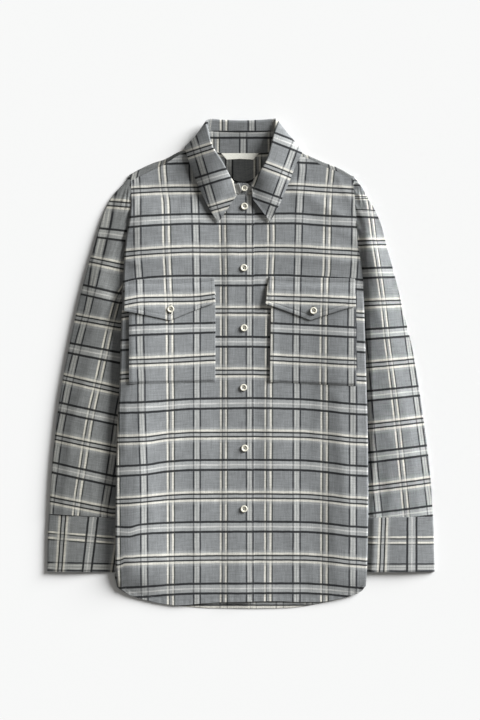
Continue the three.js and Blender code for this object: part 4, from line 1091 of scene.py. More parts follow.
def front(hand, centre_x, top_table, height):
    """Grid of a front from hem to top and from its centre edge to the side, then rolled round to the back."""
    roll = FRONT_OVER_BACK
    wide = abs(side_of(hand, 0) - centre_x)
    u = spaced(0, wide, 2.7, (0, 4, 1.3), (wide - 14, wide, 1.5)) / wide
    u = np.concatenate([u, np.ones(6)])
    turn = np.concatenate([np.zeros(len(u) - 6), np.radians([15, 30, 45, 60, 75, 90])])
    v = spaced(0, FRONT_LONG, 2.7, (0, 12, 1.3)) / FRONT_LONG

    def x_at(y):
        inset = mix(SEAM_GAP / 2, WALL / 2, side_roll(y))
        base = side_of(hand, y) - hand * (inset + roll)
        return mix(centre_x, base, u) + hand * roll * np.sin(turn)

    def end_y(table, start):
        y = np.full(len(u), start)
        for _ in range(8):
            y = mix(y, along(table, x_at(y)), 0.7)
        return y

    hem_y = end_y(FRONT_HEM, HEM_GUESS)
    y = mix(hem_y, end_y(top_table, TOP_GUESS), v[:, None])
    x = x_at(y)
    z = height(x, y) - (side_roll(y) * roll + side_puff(x, y)) * (1 - np.cos(turn))
    hem = y - hem_y
    pucker = 0.25 * np.sin(x * 0.55 + 2 * np.sin(x * 0.07)) * np.exp(-((hem - 4) / 5) ** 2)
    z = z + groove(hem - HEM_STITCH) + pucker
    return np.stack([x, y, z], -1)


left_front = front(1, LEFT_FRONT_EDGE, FRONT_TOP_RIGHT, front_z)
right_front = front(-1, RIGHT_FRONT_EDGE, FRONT_TOP_LEFT, top_front_z)
right_front[..., 2] += groove(RIGHT_FRONT_EDGE - right_front[..., 0] - PLACKET_STITCH, deep=0.28)


def hem_line(inset, x0, x1, height, lift=WALL / 2):
    x = np.linspace(x0, x1, 160)
    return on_surface(np.stack([x, along(FRONT_HEM, x) + inset], -1), height, lift)


def upright(x, y0, y1, height, lift=WALL / 2):
    return on_surface([(x, y0), (x, y1)], height, lift)


sewn_right = stitching("stitching_right_front", [
    hem_line(HEM_STITCH, -190.4, 19.2, top_front_z),
    upright(RIGHT_FRONT_EDGE - PLACKET_STITCH, -377.6, 267.2, top_front_z),
])
sewn_left = stitching("stitching_left_front", [hem_line(HEM_STITCH, 24, 195.2, front_z)])

cloth_piece(
    "left_front", left_front, woven(WARP_LEFT_FRONT, WEFT_LEFT_FRONT, left_front[..., 0], left_front[..., 1]),
)
cloth_piece(
    "right_front", right_front,
    woven(WARP_RIGHT_FRONT, WEFT_RIGHT_FRONT, right_front[..., 0], right_front[..., 1]),
)


def back_grid():
    """Grid of the back from its hem to the yoke seam, inside the fronts' rolls at both sides."""
    inset = WALL + 2 * SEAM_GAP
    u = np.linspace(0, 1, 121)
    v = spaced(0, BACK_LONG, 5.0, (0, 14, 1.6)) / BACK_LONG

    def left(y):
        shows = BACK_SHOWS * (1 - ramp(-339.2, -323.2, y))
        return side_of(-1, y) + mix(SEAM_GAP / 2, inset, side_roll(y)) - shows

    def right(y):
        return side_of(1, y) - mix(SEAM_GAP / 2, inset, side_roll(y))

    hem = np.full(len(u), HEM_GUESS)
    for _ in range(8):
        hem = mix(hem, along(BACK_HEM, mix(left(hem), right(hem), u)), 0.7)
    y = mix(hem, YOKE_SEAM_Y - SEAM_GAP / 2, v[:, None])
    x = mix(left(y), right(y), u)
    z = back_z(x, y) + groove(y - hem - HEM_STITCH, deep=0.25)
    return np.stack([x, y, z], -1)


back = back_grid()
back_map = np.stack([back[..., 0] / WARP_REPEAT + 0.31, -back[..., 1] / WEFT_REPEAT + 0.1], -1)
cloth_piece("back", back, back_map, up=WALL / 2, down=WALL / 2 - REST)


def yoke_grid():
    """The yoke from its back seam up to the neck, and over each shoulder fold to its seam on the front."""
    radius = FRONT_OVER_BACK / 2
    first, last = YOKE[0][0], YOKE[-1][0]
    x = spaced(first, last, 2.5)
    centre, run, turn = along(YOKE, x), along(YOKE, x, out=2), along(YOKE, x, out=3) * math.pi
    end = YOKE_SEAM_Y + SEAM_GAP / 2
    total = run + radius * turn + centre - end
    part = np.concatenate([np.linspace(0, 0.16, 26), np.linspace(0.16, 1, 26)[1:]])
    d = part[None, :] * total[:, None]
    c, r, t = centre[:, None], run[:, None], turn[:, None]
    fold = d - r
    a = t - fold / radius
    on_front, on_fold = fold < 0, fold < radius * t
    y = np.where(on_front, c + fold, np.where(on_fold, c + radius * np.sin(a), c - (fold - radius * t)))
    rise = np.where(on_front, 1 - np.cos(t), np.where(on_fold, 1 - np.cos(a), 0))
    xx = x[:, None] + 0 * y
    z = back_z(xx, np.where(on_front | ~on_fold, y, c)) + radius * rise
    left = side_of(-1, y) + SEAM_GAP / 2 - first
    right = side_of(1, y) - SEAM_GAP / 2 - last
    xx = xx + left * (1 - np.clip((xx - first) / 60, 0, 1)) + right * (1 - np.clip((last - xx) / 60, 0, 1))
    return np.stack([xx, y, z], -1), d


YOKE_LEAN = 0.30
YOKE_DRAWN = (-0.30, 0.155)
YOKE_DIP = 0.08
YOKE_START = (0.213, 2.02)

yoke, reach = yoke_grid()
off_centre = np.abs(yoke[..., 0])
lean = np.sign(yoke[..., 0]) * YOKE_LEAN * ramp(58, 96, off_centre)
drawn = np.where(yoke[..., 0] < 0, *YOKE_DRAWN) * ramp(46, 86, off_centre) * (1 - ramp(30, 75, reach))
dip = np.maximum(0, 1 - ((yoke[..., 0] - 3) / 22) ** 2) * ramp(318.4, 300.8, yoke[..., 1])
yoke_map = np.stack([
    yoke[..., 0] / WARP_REPEAT + YOKE_START[0] + lean * reach / WARP_REPEAT + drawn,
    (reach - lean * yoke[..., 0] * 0.5) / WEFT_REPEAT + YOKE_START[1] - YOKE_DIP * dip,
], -1)
cloth_piece("yoke", yoke, yoke_map, up=WALL / 2, down=WALL / 2 - REST)


# Sleeves and cuffs

SLEEVE_RINGS = 210
CUFF_RINGS = 44


def tube(table, wall, rise, rings, armhole, creases, warp, weft):
    """Grid and map of a flattened tube. Each ring goes along outer edge, upper wall, inner edge, lower wall.

    Both edges are round, rise high. The upper wall is creased. From the outer edge on it is puffed by a sine
    over three quarters of its width, to the power of one and a half. The outer edge is lifted by OUTER_PUFF,
    which fades over the same width. The inner side rises in an arch by SLEEVE_PUFF or CUFF_PUFF, at the head of
    a sleeve by SLEEVE_HEAD_TILT too. The arch ends before the body's edge. A sleeve's first rings follow the
    armhole and are gathered. The map goes on round the tube by the length of cloth.
    """
    radius = rise / 2
    first = table[0]
    hand = math.copysign(1, first[0])
    side = 0 if hand < 0 else 1
    rows = np.linspace(0, len(table) - 1, rings)
    t = between(table, rows)
    outer, inner, puff = t[:, None, 0:2], t[:, None, 2:4], t[:, None, 4]
    width = np.linalg.norm(inner - outer, axis=2, keepdims=True)
    way = (inner - outer) / width
    inset = (radius + wall / 2) / width[..., 0]
    n_flat, n_arc = 48, 7
    up_c = mix(inset, 1 - inset, np.linspace(0, 1, n_flat)[None, :])
    arc = np.radians(np.linspace(-77, 77, n_arc))[None, :] + 0 * inset
    down_c = up_c[:, ::-1]
    base = wall / 2
    lift = puff * np.sin(math.pi * np.minimum(1, up_c / 0.74)) ** 1.5
    c = np.concatenate([inset + 0 * arc, up_c, 1 - inset + 0 * arc, down_c], 1)
    out = np.concatenate([-radius * np.cos(arc), 0 * up_c, radius * np.cos(arc), 0 * down_c], 1)
    z = np.concatenate([
        base + radius + radius * np.sin(arc) + 0 * inset, base + rise + lift,
        base + radius - radius * np.sin(arc) + 0 * inset, base + 0 * down_c,
    ], 1)
    p = outer + (inner - outer) * c[..., None] + way * out[..., None]
    x, y = p[..., 0], p[..., 1]
    if armhole:
        straight = mix(first[0], first[2], np.clip((y - first[1]) / (first[3] - first[1]), 0, 1))
        follow = np.maximum(0, 1 - rows / 2)[:, None]
        x = x + (side_of(hand, y) + hand * 2 * SEAM_GAP - straight) * follow
    across = np.linspace(0, 1, n_flat)
    flat_part = slice(n_arc, n_arc + n_flat)
    grown = ramp(*OUTER_PUFF_GROWS[side], rows) if armhole else OUTER_PUFF_CUFF
    outer_puff = (OUTER_PUFF[side] * grown * np.ones(rings))[:, None]
    z[:, :n_arc] += outer_puff * (1 + np.sin(arc)) / 2
    z[:, flat_part] += outer_puff * (1 - ramp(0.05, 0.75, across))
    free = np.zeros_like(x)
    free[:, flat_part] = np.sin(math.pi * across) ** 0.6
    z = z + ridges(creases, x, y) * free
    arch = np.zeros_like(x)
    arch[:, flat_part] = (across / 0.88) ** 0.9 * (1 - ramp(0.90, 1.0, across))
    arch = arch * (1 - ramp(-9, -1.5, inside_by(x, y)))
    if armhole:
        last = len(table) - 1
        head = ramp(-0.5, 0.8, rows) * (1 - ramp(2.6, 5.6, rows))
        below = ramp(0.3, 2.5, rows) * (1 - 0.6 * ramp(last - 2.5, last, rows))
        z = z + SLEEVE_HEAD_TILT[side] * arch * head[:, None]
        z = z + SLEEVE_PUFF[side] * arch * below[:, None]
        deep, reach = GATHERS[side]
        gather = np.sin(2 * math.pi * 7.5 * c + 1.3 * np.sin(9 * c)) * np.exp(-((rows / reach) ** 2))[:, None]
        z = z + deep * gather * free
    else:
        z = z + CUFF_PUFF[side] * arch
    grid = np.stack([x, y, z], -1)
    closed = np.concatenate([grid, grid[:, :1]], 1)
    step = np.linalg.norm(np.diff(closed, axis=1), axis=2)
    s = np.concatenate([np.zeros((rings, 1)), np.cumsum(step, 1)], 1)
    cloth = woven(warp, weft, closed[..., 0], closed[..., 1])
    a0, a1 = n_arc, n_arc + n_flat - 1
    value = cloth[..., 0]
    sign = np.sign(value[:, a1:a1 + 1] - value[:, a0:a0 + 1])
    before = value[:, a0:a0 + 1] - sign * (s[:, a0:a0 + 1] - s) / WARP_REPEAT
    after = value[:, a1:a1 + 1] + sign * (s - s[:, a1:a1 + 1]) / WARP_REPEAT
    j = np.arange(closed.shape[1])[None, :]
    cloth[..., 0] = np.where(j < a0, before, np.where(j > a1, after, value))
    return grid, cloth


for node, table, creases, warp, weft in (
    ("sleeve_right", RINGS_SLEEVE_RIGHT, CREASES_SLEEVE_RIGHT, WARP_SLEEVE_RIGHT, WEFT_SLEEVE_RIGHT),
    ("sleeve_left", RINGS_SLEEVE_LEFT, CREASES_SLEEVE_LEFT, WARP_SLEEVE_LEFT, WEFT_SLEEVE_LEFT),
):
    grid, cloth = tube(table, WALL, FRONT_OVER_BACK, SLEEVE_RINGS, True, creases, warp, weft)
    cloth_piece(node, grid, cloth, down=0.3, ring=True)
for node, table, cuff_along, cuff_across in (
    ("cuff_right", RINGS_CUFF_RIGHT, CUFF_RIGHT_ALONG, CUFF_RIGHT_ACROSS),
    ("cuff_left", RINGS_CUFF_LEFT, CUFF_LEFT_ALONG, CUFF_LEFT_ACROSS),
):
    grid, cloth = tube(table, CUFF_WALL, FRONT_OVER_BACK, CUFF_RINGS, False, [], cuff_along, cuff_across)
    cloth = cloth[..., ::-1]
    cloth_piece(node, grid, cloth, up=CUFF_WALL / 2, down=0.7, ring=True)


# Collar


def collar_rows(rows):
    """Sections of the collar: foot, seam with the stand, the roll's turn, the leaf's middle and edge.

    The roll's centre lies inside the roll line by ROLL_RADIUS and half a wall. lean turns the roll about it,
    so that the leaf lies above the stand at 0 and below it at 180. The roll is lifted by COLLAR_PUFF at the
    sides and COLLAR_BACK_PUFF round the back, the leaf's free edge at the sides by LEAF_EDGE_LIFT.
    """
    t = between(COLLAR, rows)
    last = len(COLLAR) - 1
    end = np.minimum(rows, last - rows)
    lift = mix(COLLAR_PUFF * ramp(0.3, 2.8, end), COLLAR_BACK_PUFF, ramp(5.2, 7.4, end))
    t[:, 5] += lift
    t[:, 10] += lift * 0.68 * (1 - ramp(5.2, 7.4, end))
    t[:, 13] += LEAF_EDGE_LIFT * ramp(0.1, 1.2, end) * (1 - ramp(4.6, 5.8, end))
    foot, roll, middle, edge = t[:, 0:3], t[:, 3:6], t[:, 8:11], t[:, 11:14]
    lean, rise = np.radians(t[:, 6:7]), t[:, 7:8]
    out = roll - middle
    out[:, 2] = 0
    out /= np.linalg.norm(out, axis=1, keepdims=True)
    over = np.concatenate([-out[:, 1:2] * np.sin(lean), out[:, 0:1] * np.sin(lean), np.cos(lean)], 1)
    centre = roll - out * (ROLL_RADIUS + WALL / 2)
    inner = centre - over * ROLL_RADIUS
    tall = np.linalg.norm(foot - inner, axis=1, keepdims=True)
    seam = mix(inner, foot, rise / tall)
    top = mix(inner, foot, (rise + 2.8 * SEAM_GAP) / tall)
    turn = [centre + out * ROLL_RADIUS * math.cos(a) + over * ROLL_RADIUS * math.sin(a)
            for a in np.radians(np.linspace(-75, 75, 9))]
    return foot, top, seam, inner, turn, middle, edge


# Stations round the leaf, the columns of its grid that lie under its upper face, and the mm between the weft
# groups on its points
LEAF_ROWS = np.linspace(0, len(COLLAR) - 1, 181)
UNDER_LEAF = 13
LEAF_GROUPS = 46.6
foot, stand_top, seam, inner, turn, middle, edge = collar_rows(LEAF_ROWS)
parts = [mix(seam, inner, v) for v in (0, 0.3, 0.6, 0.85)] + turn
fall = np.linspace(0, 1, 15)[1:]
parts += [mix(turn[-1], middle, v) for v in fall]
parts += [mix(middle, edge, v) for v in np.concatenate([fall[:-3], [0.83, 0.87, 0.91, 0.95, 1.0]])]
leaf = np.stack(parts, 1)
ends = np.minimum(LEAF_ROWS, len(COLLAR) - 1 - LEAF_ROWS)[:, None]
arched = np.sin(math.pi * np.linspace(0, 1, leaf.shape[1] - UNDER_LEAF))
bend = np.concatenate([np.zeros(UNDER_LEAF), arched])[None, :]
leaf[..., 2] += 1.3 * bend * (1 - ramp(5, 7, ends))
from_edge = np.linalg.norm(leaf - leaf[:, -1:], axis=2)
leaf[..., 2] += groove(from_edge - LEAF_GROOVE, deep=0.3) * (1 - ramp(6, 7, ends))


def leaf_map():
    x, y = leaf[..., 0], leaf[..., 1]

    def slanted(turn, u0, v0, x_ref, y_ref):
        a = math.radians(turn)
        across = (x - x_ref) * math.cos(a) + (y - y_ref) * math.sin(a)
        down = (x - x_ref) * math.sin(a) - (y - y_ref) * math.cos(a)
        return np.stack([u0 + across / WARP_REPEAT, v0 + down * (0.5 / LEAF_GROUPS)], -1)

    left = slanted(16.5, 0.0, 0.0, -69.4, 338.2)
    right = slanted(-20.0, 1.0, 0.5, 85.8, 347.8)
    behind = np.stack([x / WARP_REPEAT - 0.19, -y / WEFT_REPEAT + 0.2], -1)
    row = LEAF_ROWS[:, None, None]
    to_back, from_back = ramp(6.4, 7.2, row), ramp(10.8, 11.6, row)
    return left * (1 - to_back) + behind * to_back * (1 - from_back) + right * from_back


normal = normals_of(leaf)
normal *= np.sign(normal[30, -4, 2])
# stitches along the free edge of both points, then along their front edges
inward = leaf[:, -6] - leaf[:, -1]
inward /= np.linalg.norm(inward, axis=1, keepdims=True)
lifted = leaf[:, -1] + inward * LEAF_STITCH + normal[:, -6] * (WALL / 2 + 0.1)
leaf_lines = [(lifted[part], normal[part, -6]) for part in (slice(8, 62), slice(-62, -8))]
for row in (6, -7):
    cut = leaf[row, 14:-4] + normal[row, 14:-4] * (WALL / 2 + 0.05)
    leaf_lines.append((cut, normal[row, 14:-4]))
sewn_leaf = stitching("stitching_collar", leaf_lines)
cloth_piece("collar_leaf", leaf, leaf_map(), down=0.45)

# The stand: its rounded end at the viewer's left, the band round the neck, then its tab on the button side
path = np.array([[*foot[-1], *stand_top[-1]], *STAND_TAB])
steps = np.linspace(0, 2, 13)[1:]
tab = np.stack([np.interp(steps, range(3), path[:, k]) for k in range(6)], -1)
steps = np.linspace(0, 1, 8)[:-1, None]
end_tab = mix(np.array([STAND_END]), np.array([[*foot[0], *stand_top[0]]]), 1 - (1 - steps) ** 2)
band = np.concatenate([foot, stand_top], 1)
stand_lines = np.concatenate([end_tab, band, tab])
stand = np.stack([mix(stand_lines[:, 0:3], stand_lines[:, 3:6], v) for v in np.linspace(0, 1, 14)], 1)
# Its check: straight round the back, plain ground beside the front ends, and on the ends the flat colour of a
# pale stripe, partly the cloth's stripe and partly a painted highlight
# The middle of a pale stripe crossing: one flat colour for the front ends, partly painted highlight that
# lightens them
PALE_STRIPE_PAINTED_HIGHLIGHT = (1.0, 0.5)
stand_map = np.stack([stand[..., 0] / WARP_REPEAT - 0.04, (369 - stand[..., 1]) / WEFT_REPEAT + 0.5], -1)
for part, x_part in ((slice(16, 30), -12.0), (slice(-7, None), 2.0)):
    stand_map[part, :, 0] = 0.25 + (stand[part, :, 0] - x_part) / WARP_REPEAT
    stand_map[part, :, 1] = 0.25 + (stand[part, :, 1] - 284.0) / WEFT_REPEAT
# painted highlight: the front ends take the flat pale stripe colour, lighter than the check would show there
for part in (slice(0, 16), slice(-18, -7)):
    stand_map[part] = PALE_STRIPE_PAINTED_HIGHLIGHT
cloth_piece("collar_stand", stand, stand_map, down=0.45)


# Pockets, flaps and the neck label


# Sizes that the rows and columns of the patches are spaced for
POCKET_WIDE, POCKET_TALL = 135, 150
FLAP_WIDE, FLAP_TALL = 141, 50


def patch_xy(corners, u, v, droop=0.0):
    """Points of a patch between four corners, u across it and v down it, each from 0 to 1.

    Its lower edge is drawn down to a point in the middle, by a power of the share of the way there from the
    nearer side. The upper edge's left end hangs by droop.
    """
    a, b, c, d, point = corners
    x = mix(mix(a[0], b[0], u), mix(c[0], d[0], u), v)
    drop = point * np.maximum(0, 1 - np.abs(2 * u - 1)) ** 1.1
    top = mix(a[1], b[1], u) - droop * np.maximum(0, 1 - u / 0.16) ** 2
    return x, mix(top, mix(c[1], d[1], u) - drop, v)


def patch(corners, u, v, height, droop=0.0):
    """Grid of a patch on a height function."""
    u, v = u[None, :], v[:, None]
    x, y = patch_xy(corners, u, v, droop)
    return np.stack([x, y, height(x, y, u, v)], -1)


def to_free_edge(u, v, wide, tall):
    """Distance from the sides and the lower edge of a patch at each point of its grid."""
    return np.minimum(np.minimum(u[None, :], 1 - u[None, :]) * wide, (1 - v[:, None]) * tall)


def pocket_z(x, y, u=0.5, v=0.5):
    """A pocket lies on the front and lifts along its left side."""
    return panel_z(x, y) + PATCH_STEP + PATCH_END_LIFT * (1 - ramp(0, 0.12, u))


def flap_z(x, y, u=0.5, v=0.5):
    """A flap starts on the front, climbs on to the pocket, and lifts to its free edge and its left end."""
    on_pocket = PATCH_STEP * (1 - ramp(POCKET_TOP + 1.6, POCKET_TOP + 13, y))
    ends = 0.9 * np.abs(2 * u - 1) ** 6 * v
    left = (1 - ramp(0, 0.22, u)) * (0.4 + v)
    return panel_z(x, y) + PATCH_STEP + on_pocket + (0.35 + ends) * v * v + PATCH_END_LIFT * left


def edge_lines(corners, inset, height, sides, lift=WALL / 2):
    """Stitch runs inset from a patch's sides: l left, r right, b bottom, t top."""
    a, b, c = corners[:3]
    wide = abs(b[0] - a[0])
    tall = abs(a[1] - c[1])
    iu, iv = inset / wide, inset / tall
    t = np.linspace(0, 1, 60)
    rails = {
        "l": (iu + 0 * t, mix(0.0, 1 - iv, t)), "r": (1 - iu + 0 * t, mix(0.0, 1 - iv, t)),
        "b": (mix(iu, 1 - iu, t), 1 - iv + 0 * t), "t": (mix(iu, 1 - iu, t), iv + 0 * t),
    }
    runs = []
    for side in sides:
        u, v = rails[side]
        x, y = patch_xy(corners, u, v)

        def z(px, py, table=(x, y, u, v)):
            order = np.argsort(table[0]) if side in "bt" else np.argsort(table[1])
            key = table[0][order] if side in "bt" else table[1][order]
            at = px if side in "bt" else py
            return height(px, py, np.interp(at, key, table[2][order]), np.interp(at, key, table[3][order]))

        runs.append(on_surface(np.stack([x, y], -1), z, lift))
    return runs


for node, corners, warp, weft in (
    ("pocket_right", POCKET_RIGHT, WARP_POCKET_RIGHT, WEFT_POCKET_RIGHT),
    ("pocket_left", POCKET_LEFT, WARP_POCKET_LEFT, WEFT_POCKET_LEFT),
):
    u = spaced(0, POCKET_WIDE, 2.3, (0, 7, 1.0), (POCKET_WIDE - 7, POCKET_WIDE, 1.0)) / POCKET_WIDE
    v = spaced(0, POCKET_TALL, 2.3, (POCKET_TALL - 7, POCKET_TALL, 1.0)) / POCKET_TALL
    grid = patch(corners, u, v, pocket_z)
    rim_at = to_free_edge(u, v, POCKET_WIDE, POCKET_TALL)
    grid[..., 2] += groove(rim_at - POCKET_STITCH, deep=0.25) - 0.4 * (1 - ramp(0, 3, rim_at))
    grid[..., 2] -= 1.2 * (1 - ramp(0, 4, (1 - v[:, None]) * POCKET_TALL))
    sewn = stitching("stitching_" + node, edge_lines(corners, POCKET_STITCH, pocket_z, "lrb"))
    cloth = woven(warp, weft, grid[..., 0], grid[..., 1])
    cloth_piece(node, grid, cloth, down=0.5)
for node, corners, warp, weft in (
    ("flap_right", FLAP_RIGHT, WARP_FLAP_RIGHT, WEFT_FLAP_RIGHT),
    ("flap_left", FLAP_LEFT, WARP_FLAP_LEFT, WEFT_FLAP_LEFT),
):
    u = spaced(0, FLAP_WIDE, 2.0, (0, 8, 1.0), (FLAP_WIDE - 8, FLAP_WIDE, 1.0)) / FLAP_WIDE
    v = spaced(0, FLAP_TALL, 1.6, (0, 8, 0.9), (FLAP_TALL - 8, FLAP_TALL, 0.9)) / FLAP_TALL
    grid = patch(corners, u, v, flap_z, droop=FLAP_DROOP if node == "flap_right" else 0.0)
    rim_at = to_free_edge(u, v, FLAP_WIDE, FLAP_TALL)
    top_groove = groove(v[:, None] * FLAP_TALL - FLAP_TOP_STITCH)
    grid[..., 2] += groove(rim_at - FLAP_STITCH) + top_groove - 0.3 * (1 - ramp(0, 2, rim_at))
    lines = edge_lines(corners, FLAP_STITCH, flap_z, "lrb")
    lines += edge_lines(corners, FLAP_TOP_STITCH, flap_z, "t")
    sewn = stitching("stitching_" + node, lines)
    cloth = woven(warp, weft, grid[..., 0], grid[..., 1])
    cloth_piece(node, grid, cloth, down=0.5)


def label_z(x, y, u=0.5, v=0.5):
    return back_z(x, y) + WALL / 2 + SEAM_GAP + TAPE_WALL / 2


label = patch(NECK_LABEL, np.linspace(0, 1, 41), np.linspace(0, 1, 11), label_z)
label_obj = cloth_mesh("cloth_neck_label", label, label[..., :2] / WARP_REPEAT, 0.45, 0.3)
dress(label_obj, TAPE, "neck_label")


# Buttons


def closed_faces(rings, around):
    """Triangles over rings of points, and to one centre point at each end, which follow the last ring."""
    i, j = np.meshgrid(np.arange(rings - 1), np.arange(around), indexing="ij")
    k = (j + 1) % around
    quads = np.stack([i * around + j, i * around + k, (i + 1) * around + k, (i + 1) * around + j], -1)
    quads = quads.reshape(-1, 4)
    j = np.arange(around)
    k = (j + 1) % around
    end, count = (rings - 1) * around, rings * around
    return np.concatenate([
        quads[:, [0, 1, 2]], quads[:, [0, 2, 3]], np.stack([0 * j + count, k, j], -1),
        np.stack([0 * j + count + 1, end + j, end + k], -1),
    ])


def button(name, node, x, y, z, radius=5.6, tilt=(0.0, 0.0)):
    """A four-hole button: a polar grid whose height is a rim, a dished middle and four round pits."""
    rings, spokes = 40, 72
    r = np.linspace(0.02, 1, rings)[:, None] * radius
    a = np.linspace(0, 2 * math.pi, spokes, endpoint=False)[None, :]
    bx, by = r * np.cos(a), r * np.sin(a)
    rr = r / radius + 0 * a
    h = 1.55 + 0.95 * ramp(0.50, 0.72, rr) - 1.0 * ramp(0.86, 1.04, rr) ** 1.5
    for sx, sy in ((1, 1), (1, -1), (-1, 1), (-1, -1)):
        d = np.hypot(bx - sx * 1.3, by - sy * 1.3)
        h = h - 1.3 * (1 - ramp(0.7, 1.05, d))
    top = np.stack([bx, by, h], -1)
    under_r = np.array([1.0, 0.96, 0.8, 0.4, 0.02])[:, None] * radius
    under_z = np.array([0.9, 0.35, 0.05, 0.0, 0.0])[:, None]
    under = np.stack([under_r * np.cos(a), under_r * np.sin(a), under_z + 0 * a], -1)
    grid = np.concatenate([top, under])
    points = np.concatenate([grid.reshape(-1, 3), [[0, 0, h[0].mean()], [0, 0, 0]]])
    points[:, 2] += points[:, 0] * tilt[0] + points[:, 1] * tilt[1]
    points = (points + [x, y, z]) * MM
    obj = mesh_object(name, points, closed_faces(len(grid), spokes), sharp=60)
    dress(obj, IVORY, node)
    thread = []
    for turn in (45, 135):
        a = math.radians(turn)
        s = np.linspace(-1.9, 1.9, 12)
        bow = 0.7 + 1.05 * np.sqrt(np.clip(1 - (s / 2.0) ** 2, 0, 1))
        thread.append(np.stack([x + s * math.cos(a), y + s * math.sin(a), z + bow], -1))
    obj = mesh_object("thread_" + name, *cord_mesh(thread, 0.32), sharp=60)
    dress(obj, THREAD)
    return obj


def cord_mesh(lines, radius, around=8):
    """Points in metres and triangles of closed thin cords along lines of points."""
    points, faces, count = [], [], 0
    for line in lines:
        t = np.gradient(line, axis=0)
        t /= np.linalg.norm(t, axis=1, keepdims=True)
        b = np.cross([0, 0, 1.0], t)
        b /= np.linalg.norm(b, axis=1, keepdims=True)
        n = np.cross(t, b)
        a = np.linspace(0, 2 * math.pi, around, endpoint=False)
        cos, sin = np.cos(a)[None, :, None], np.sin(a)[None, :, None]
        ring = line[:, None] + radius * (b[:, None] * cos + n[:, None] * sin)
        verts = np.concatenate([ring.reshape(-1, 3), line[:1], line[-1:]])
        points.append(verts)
        faces.append(closed_faces(len(line), around) + count)
        count += len(verts)
    return np.concatenate(points) * MM, np.concatenate(faces)


def buttonhole(name, x, y, height, length=13.0, lift=WALL / 2):
    """A vertical buttonhole: short satin stitches side by side along a slit."""
    s = np.arange(-length / 2, length / 2, 0.55)
    points, faces, count = [], [], 0
    for side in (-1, 1):
        px, py = x + side * 0.75 + 0 * s, y + s
        z = height(px, py) + lift
        for k in range(len(s)):
            line = np.array([[px[k] - 0.7, py[k], z[k]], [px[k] + 0.7, py[k], z[k]]])
            v, f = stitch_run(line, np.tile([0, 0, 1.0], (2, 1)), pitch=1.4, length=1.4, thick=0.6)
            points.append(v)
            faces.append(f + count)
            count += len(v)
    obj = mesh_object(name, np.concatenate(points) * MM, np.concatenate(faces), sharp=30)
    return dress(obj, DARK_THREAD)


rng = np.random.default_rng(7)
for name, (x, y) in BUTTONS.items():
    seat = max(float(top_front_z(x, y + d)) for d in (-4, 0, 4)) + WALL / 2 + 0.1
    button("ivory_" + name, name, x, y, seat, tilt=tuple(rng.normal(0, 0.02, 2)))
    buttonhole("buttonhole_" + name[-1], x, y, top_front_z)
button("ivory_button_collar", "button_collar", 5.4, 280.6, 6.4, radius=4.9, tilt=(0.05, -0.3))
for name, (x, y) in (("button_flap_right", (-112, 87.4)), ("button_flap_left", (115.5, 85.1))):
    seat = float(panel_z(np.array(x), np.array(y))) + 2 * PATCH_STEP + 0.75 + WALL / 2 + 0.1
    button("ivory_" + name, name, x, y, seat)
    buttonhole(
        "buttonhole_" + name[7:], x, y, lambda px, py: panel_z(px, py) + 2 * PATCH_STEP + 0.6, length=15.0,
    )

# Surface, light and camera

floor_mesh = bpy.data.meshes.new("floor")
FAR_OFF = 6.0
floor_corners = [(x * FAR_OFF, y * FAR_OFF, 0) for x, y in ((-1, -1), (1, -1), (1, 1), (-1, 1))]
floor_mesh.from_pydata(floor_corners, [], [(0, 1, 2, 3)])
floor = bpy.data.objects.new("floor", floor_mesh)
bpy.context.scene.collection.objects.link(floor)
paper = bpy.data.materials.new("pale paper")
paper.use_nodes = True
paper.node_tree.nodes["Principled BSDF"].inputs["Base Color"].default_value = (0.86, 0.86, 0.855, 1)
paper.node_tree.nodes["Principled BSDF"].inputs["Roughness"].default_value = 0.95
paper.node_tree.nodes["Principled BSDF"].inputs["Specular IOR Level"].default_value = 0.1
floor_mesh.materials.append(paper)


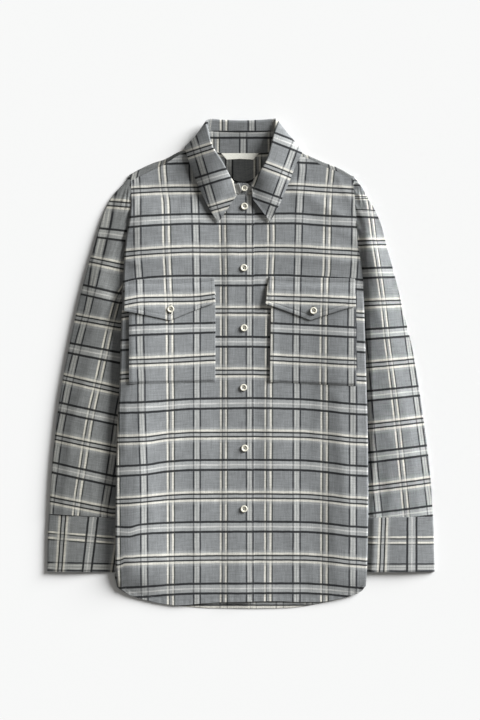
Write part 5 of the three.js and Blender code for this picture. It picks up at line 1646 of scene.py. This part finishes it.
def sun(name, azimuth, elevation, strength, spread, colour):
    """A distant light from azimuth (degrees from +X towards +Y) and elevation, spread degrees wide."""
    data = bpy.data.lights.new(name, "SUN")
    data.energy = strength
    data.angle = math.radians(spread)
    data.color = colour
    obj = bpy.data.objects.new(name, data)
    obj.rotation_euler = (0, math.radians(90 - elevation), math.radians(azimuth))
    bpy.context.scene.collection.objects.link(obj)
    return obj


def lit(name, pieces, state):
    """A light group of these pieces, for a light to reach or to leave out."""
    group = bpy.data.collections.new(name)
    for piece in pieces:
        group.objects.link(bpy.data.objects[piece])
    for item in group.collection_objects:
        item.light_linking.link_state = state
    return group


# The key light, its share for the pieces behind the body, inside the neck and on the floor, and an extra one
# for the far sleeve
BEHIND = ["cloth_sleeve_right", "cloth_cuff_right"]
INSIDE = ["cloth_yoke"]
GROUND = ["floor"]
FAR = ["cloth_sleeve_left"]
KEY_COLOUR = (0.99, 1.0, 1.01)
for name, azimuth, elevation, strength, spread, colour, group, pieces, state in (
    ("key", 35, 20, 8.25, 28, KEY_COLOUR, "in front", BEHIND + INSIDE + GROUND, "EXCLUDE"),
    ("key behind the body", 35, 15.5, 6.6, 28, (1.0, 1.0, 0.97), "behind", BEHIND, "INCLUDE"),
    ("key across the neck", 18, 12.5, 9.8, 12, (1.0, 1.0, 0.98), "inside", INSIDE, "INCLUDE"),
    ("key on the floor", 35, 22.5, 7.37, 34, KEY_COLOUR, "ground", GROUND, "INCLUDE"),
    ("key on the far sleeve", 35, 20, 1.2, 28, KEY_COLOUR, "far sleeve", FAR, "INCLUDE"),
):
    light = sun(name, azimuth, elevation, strength, spread, colour)
    light.light_linking.receiver_collection = lit(group, pieces, state)
world = bpy.data.worlds.new("studio")
world.use_nodes = True
world.node_tree.nodes["Background"].inputs["Color"].default_value = (1.0, 0.985, 0.945, 1)
world.node_tree.nodes["Background"].inputs["Strength"].default_value = 0.2
bpy.context.scene.world = world

camera_data = bpy.data.cameras.new("camera")
camera_data.sensor_width = 36
camera_data.lens = 100
camera_data.clip_end = 50
camera = bpy.data.objects.new("camera", camera_data)
camera.location = (-0.0016, 0.0064, 3.2)
bpy.context.scene.collection.objects.link(camera)
bpy.context.scene.camera = camera
bpy.context.scene.view_settings.view_transform = "Standard"
bpy.context.scene.view_settings.look = "None"
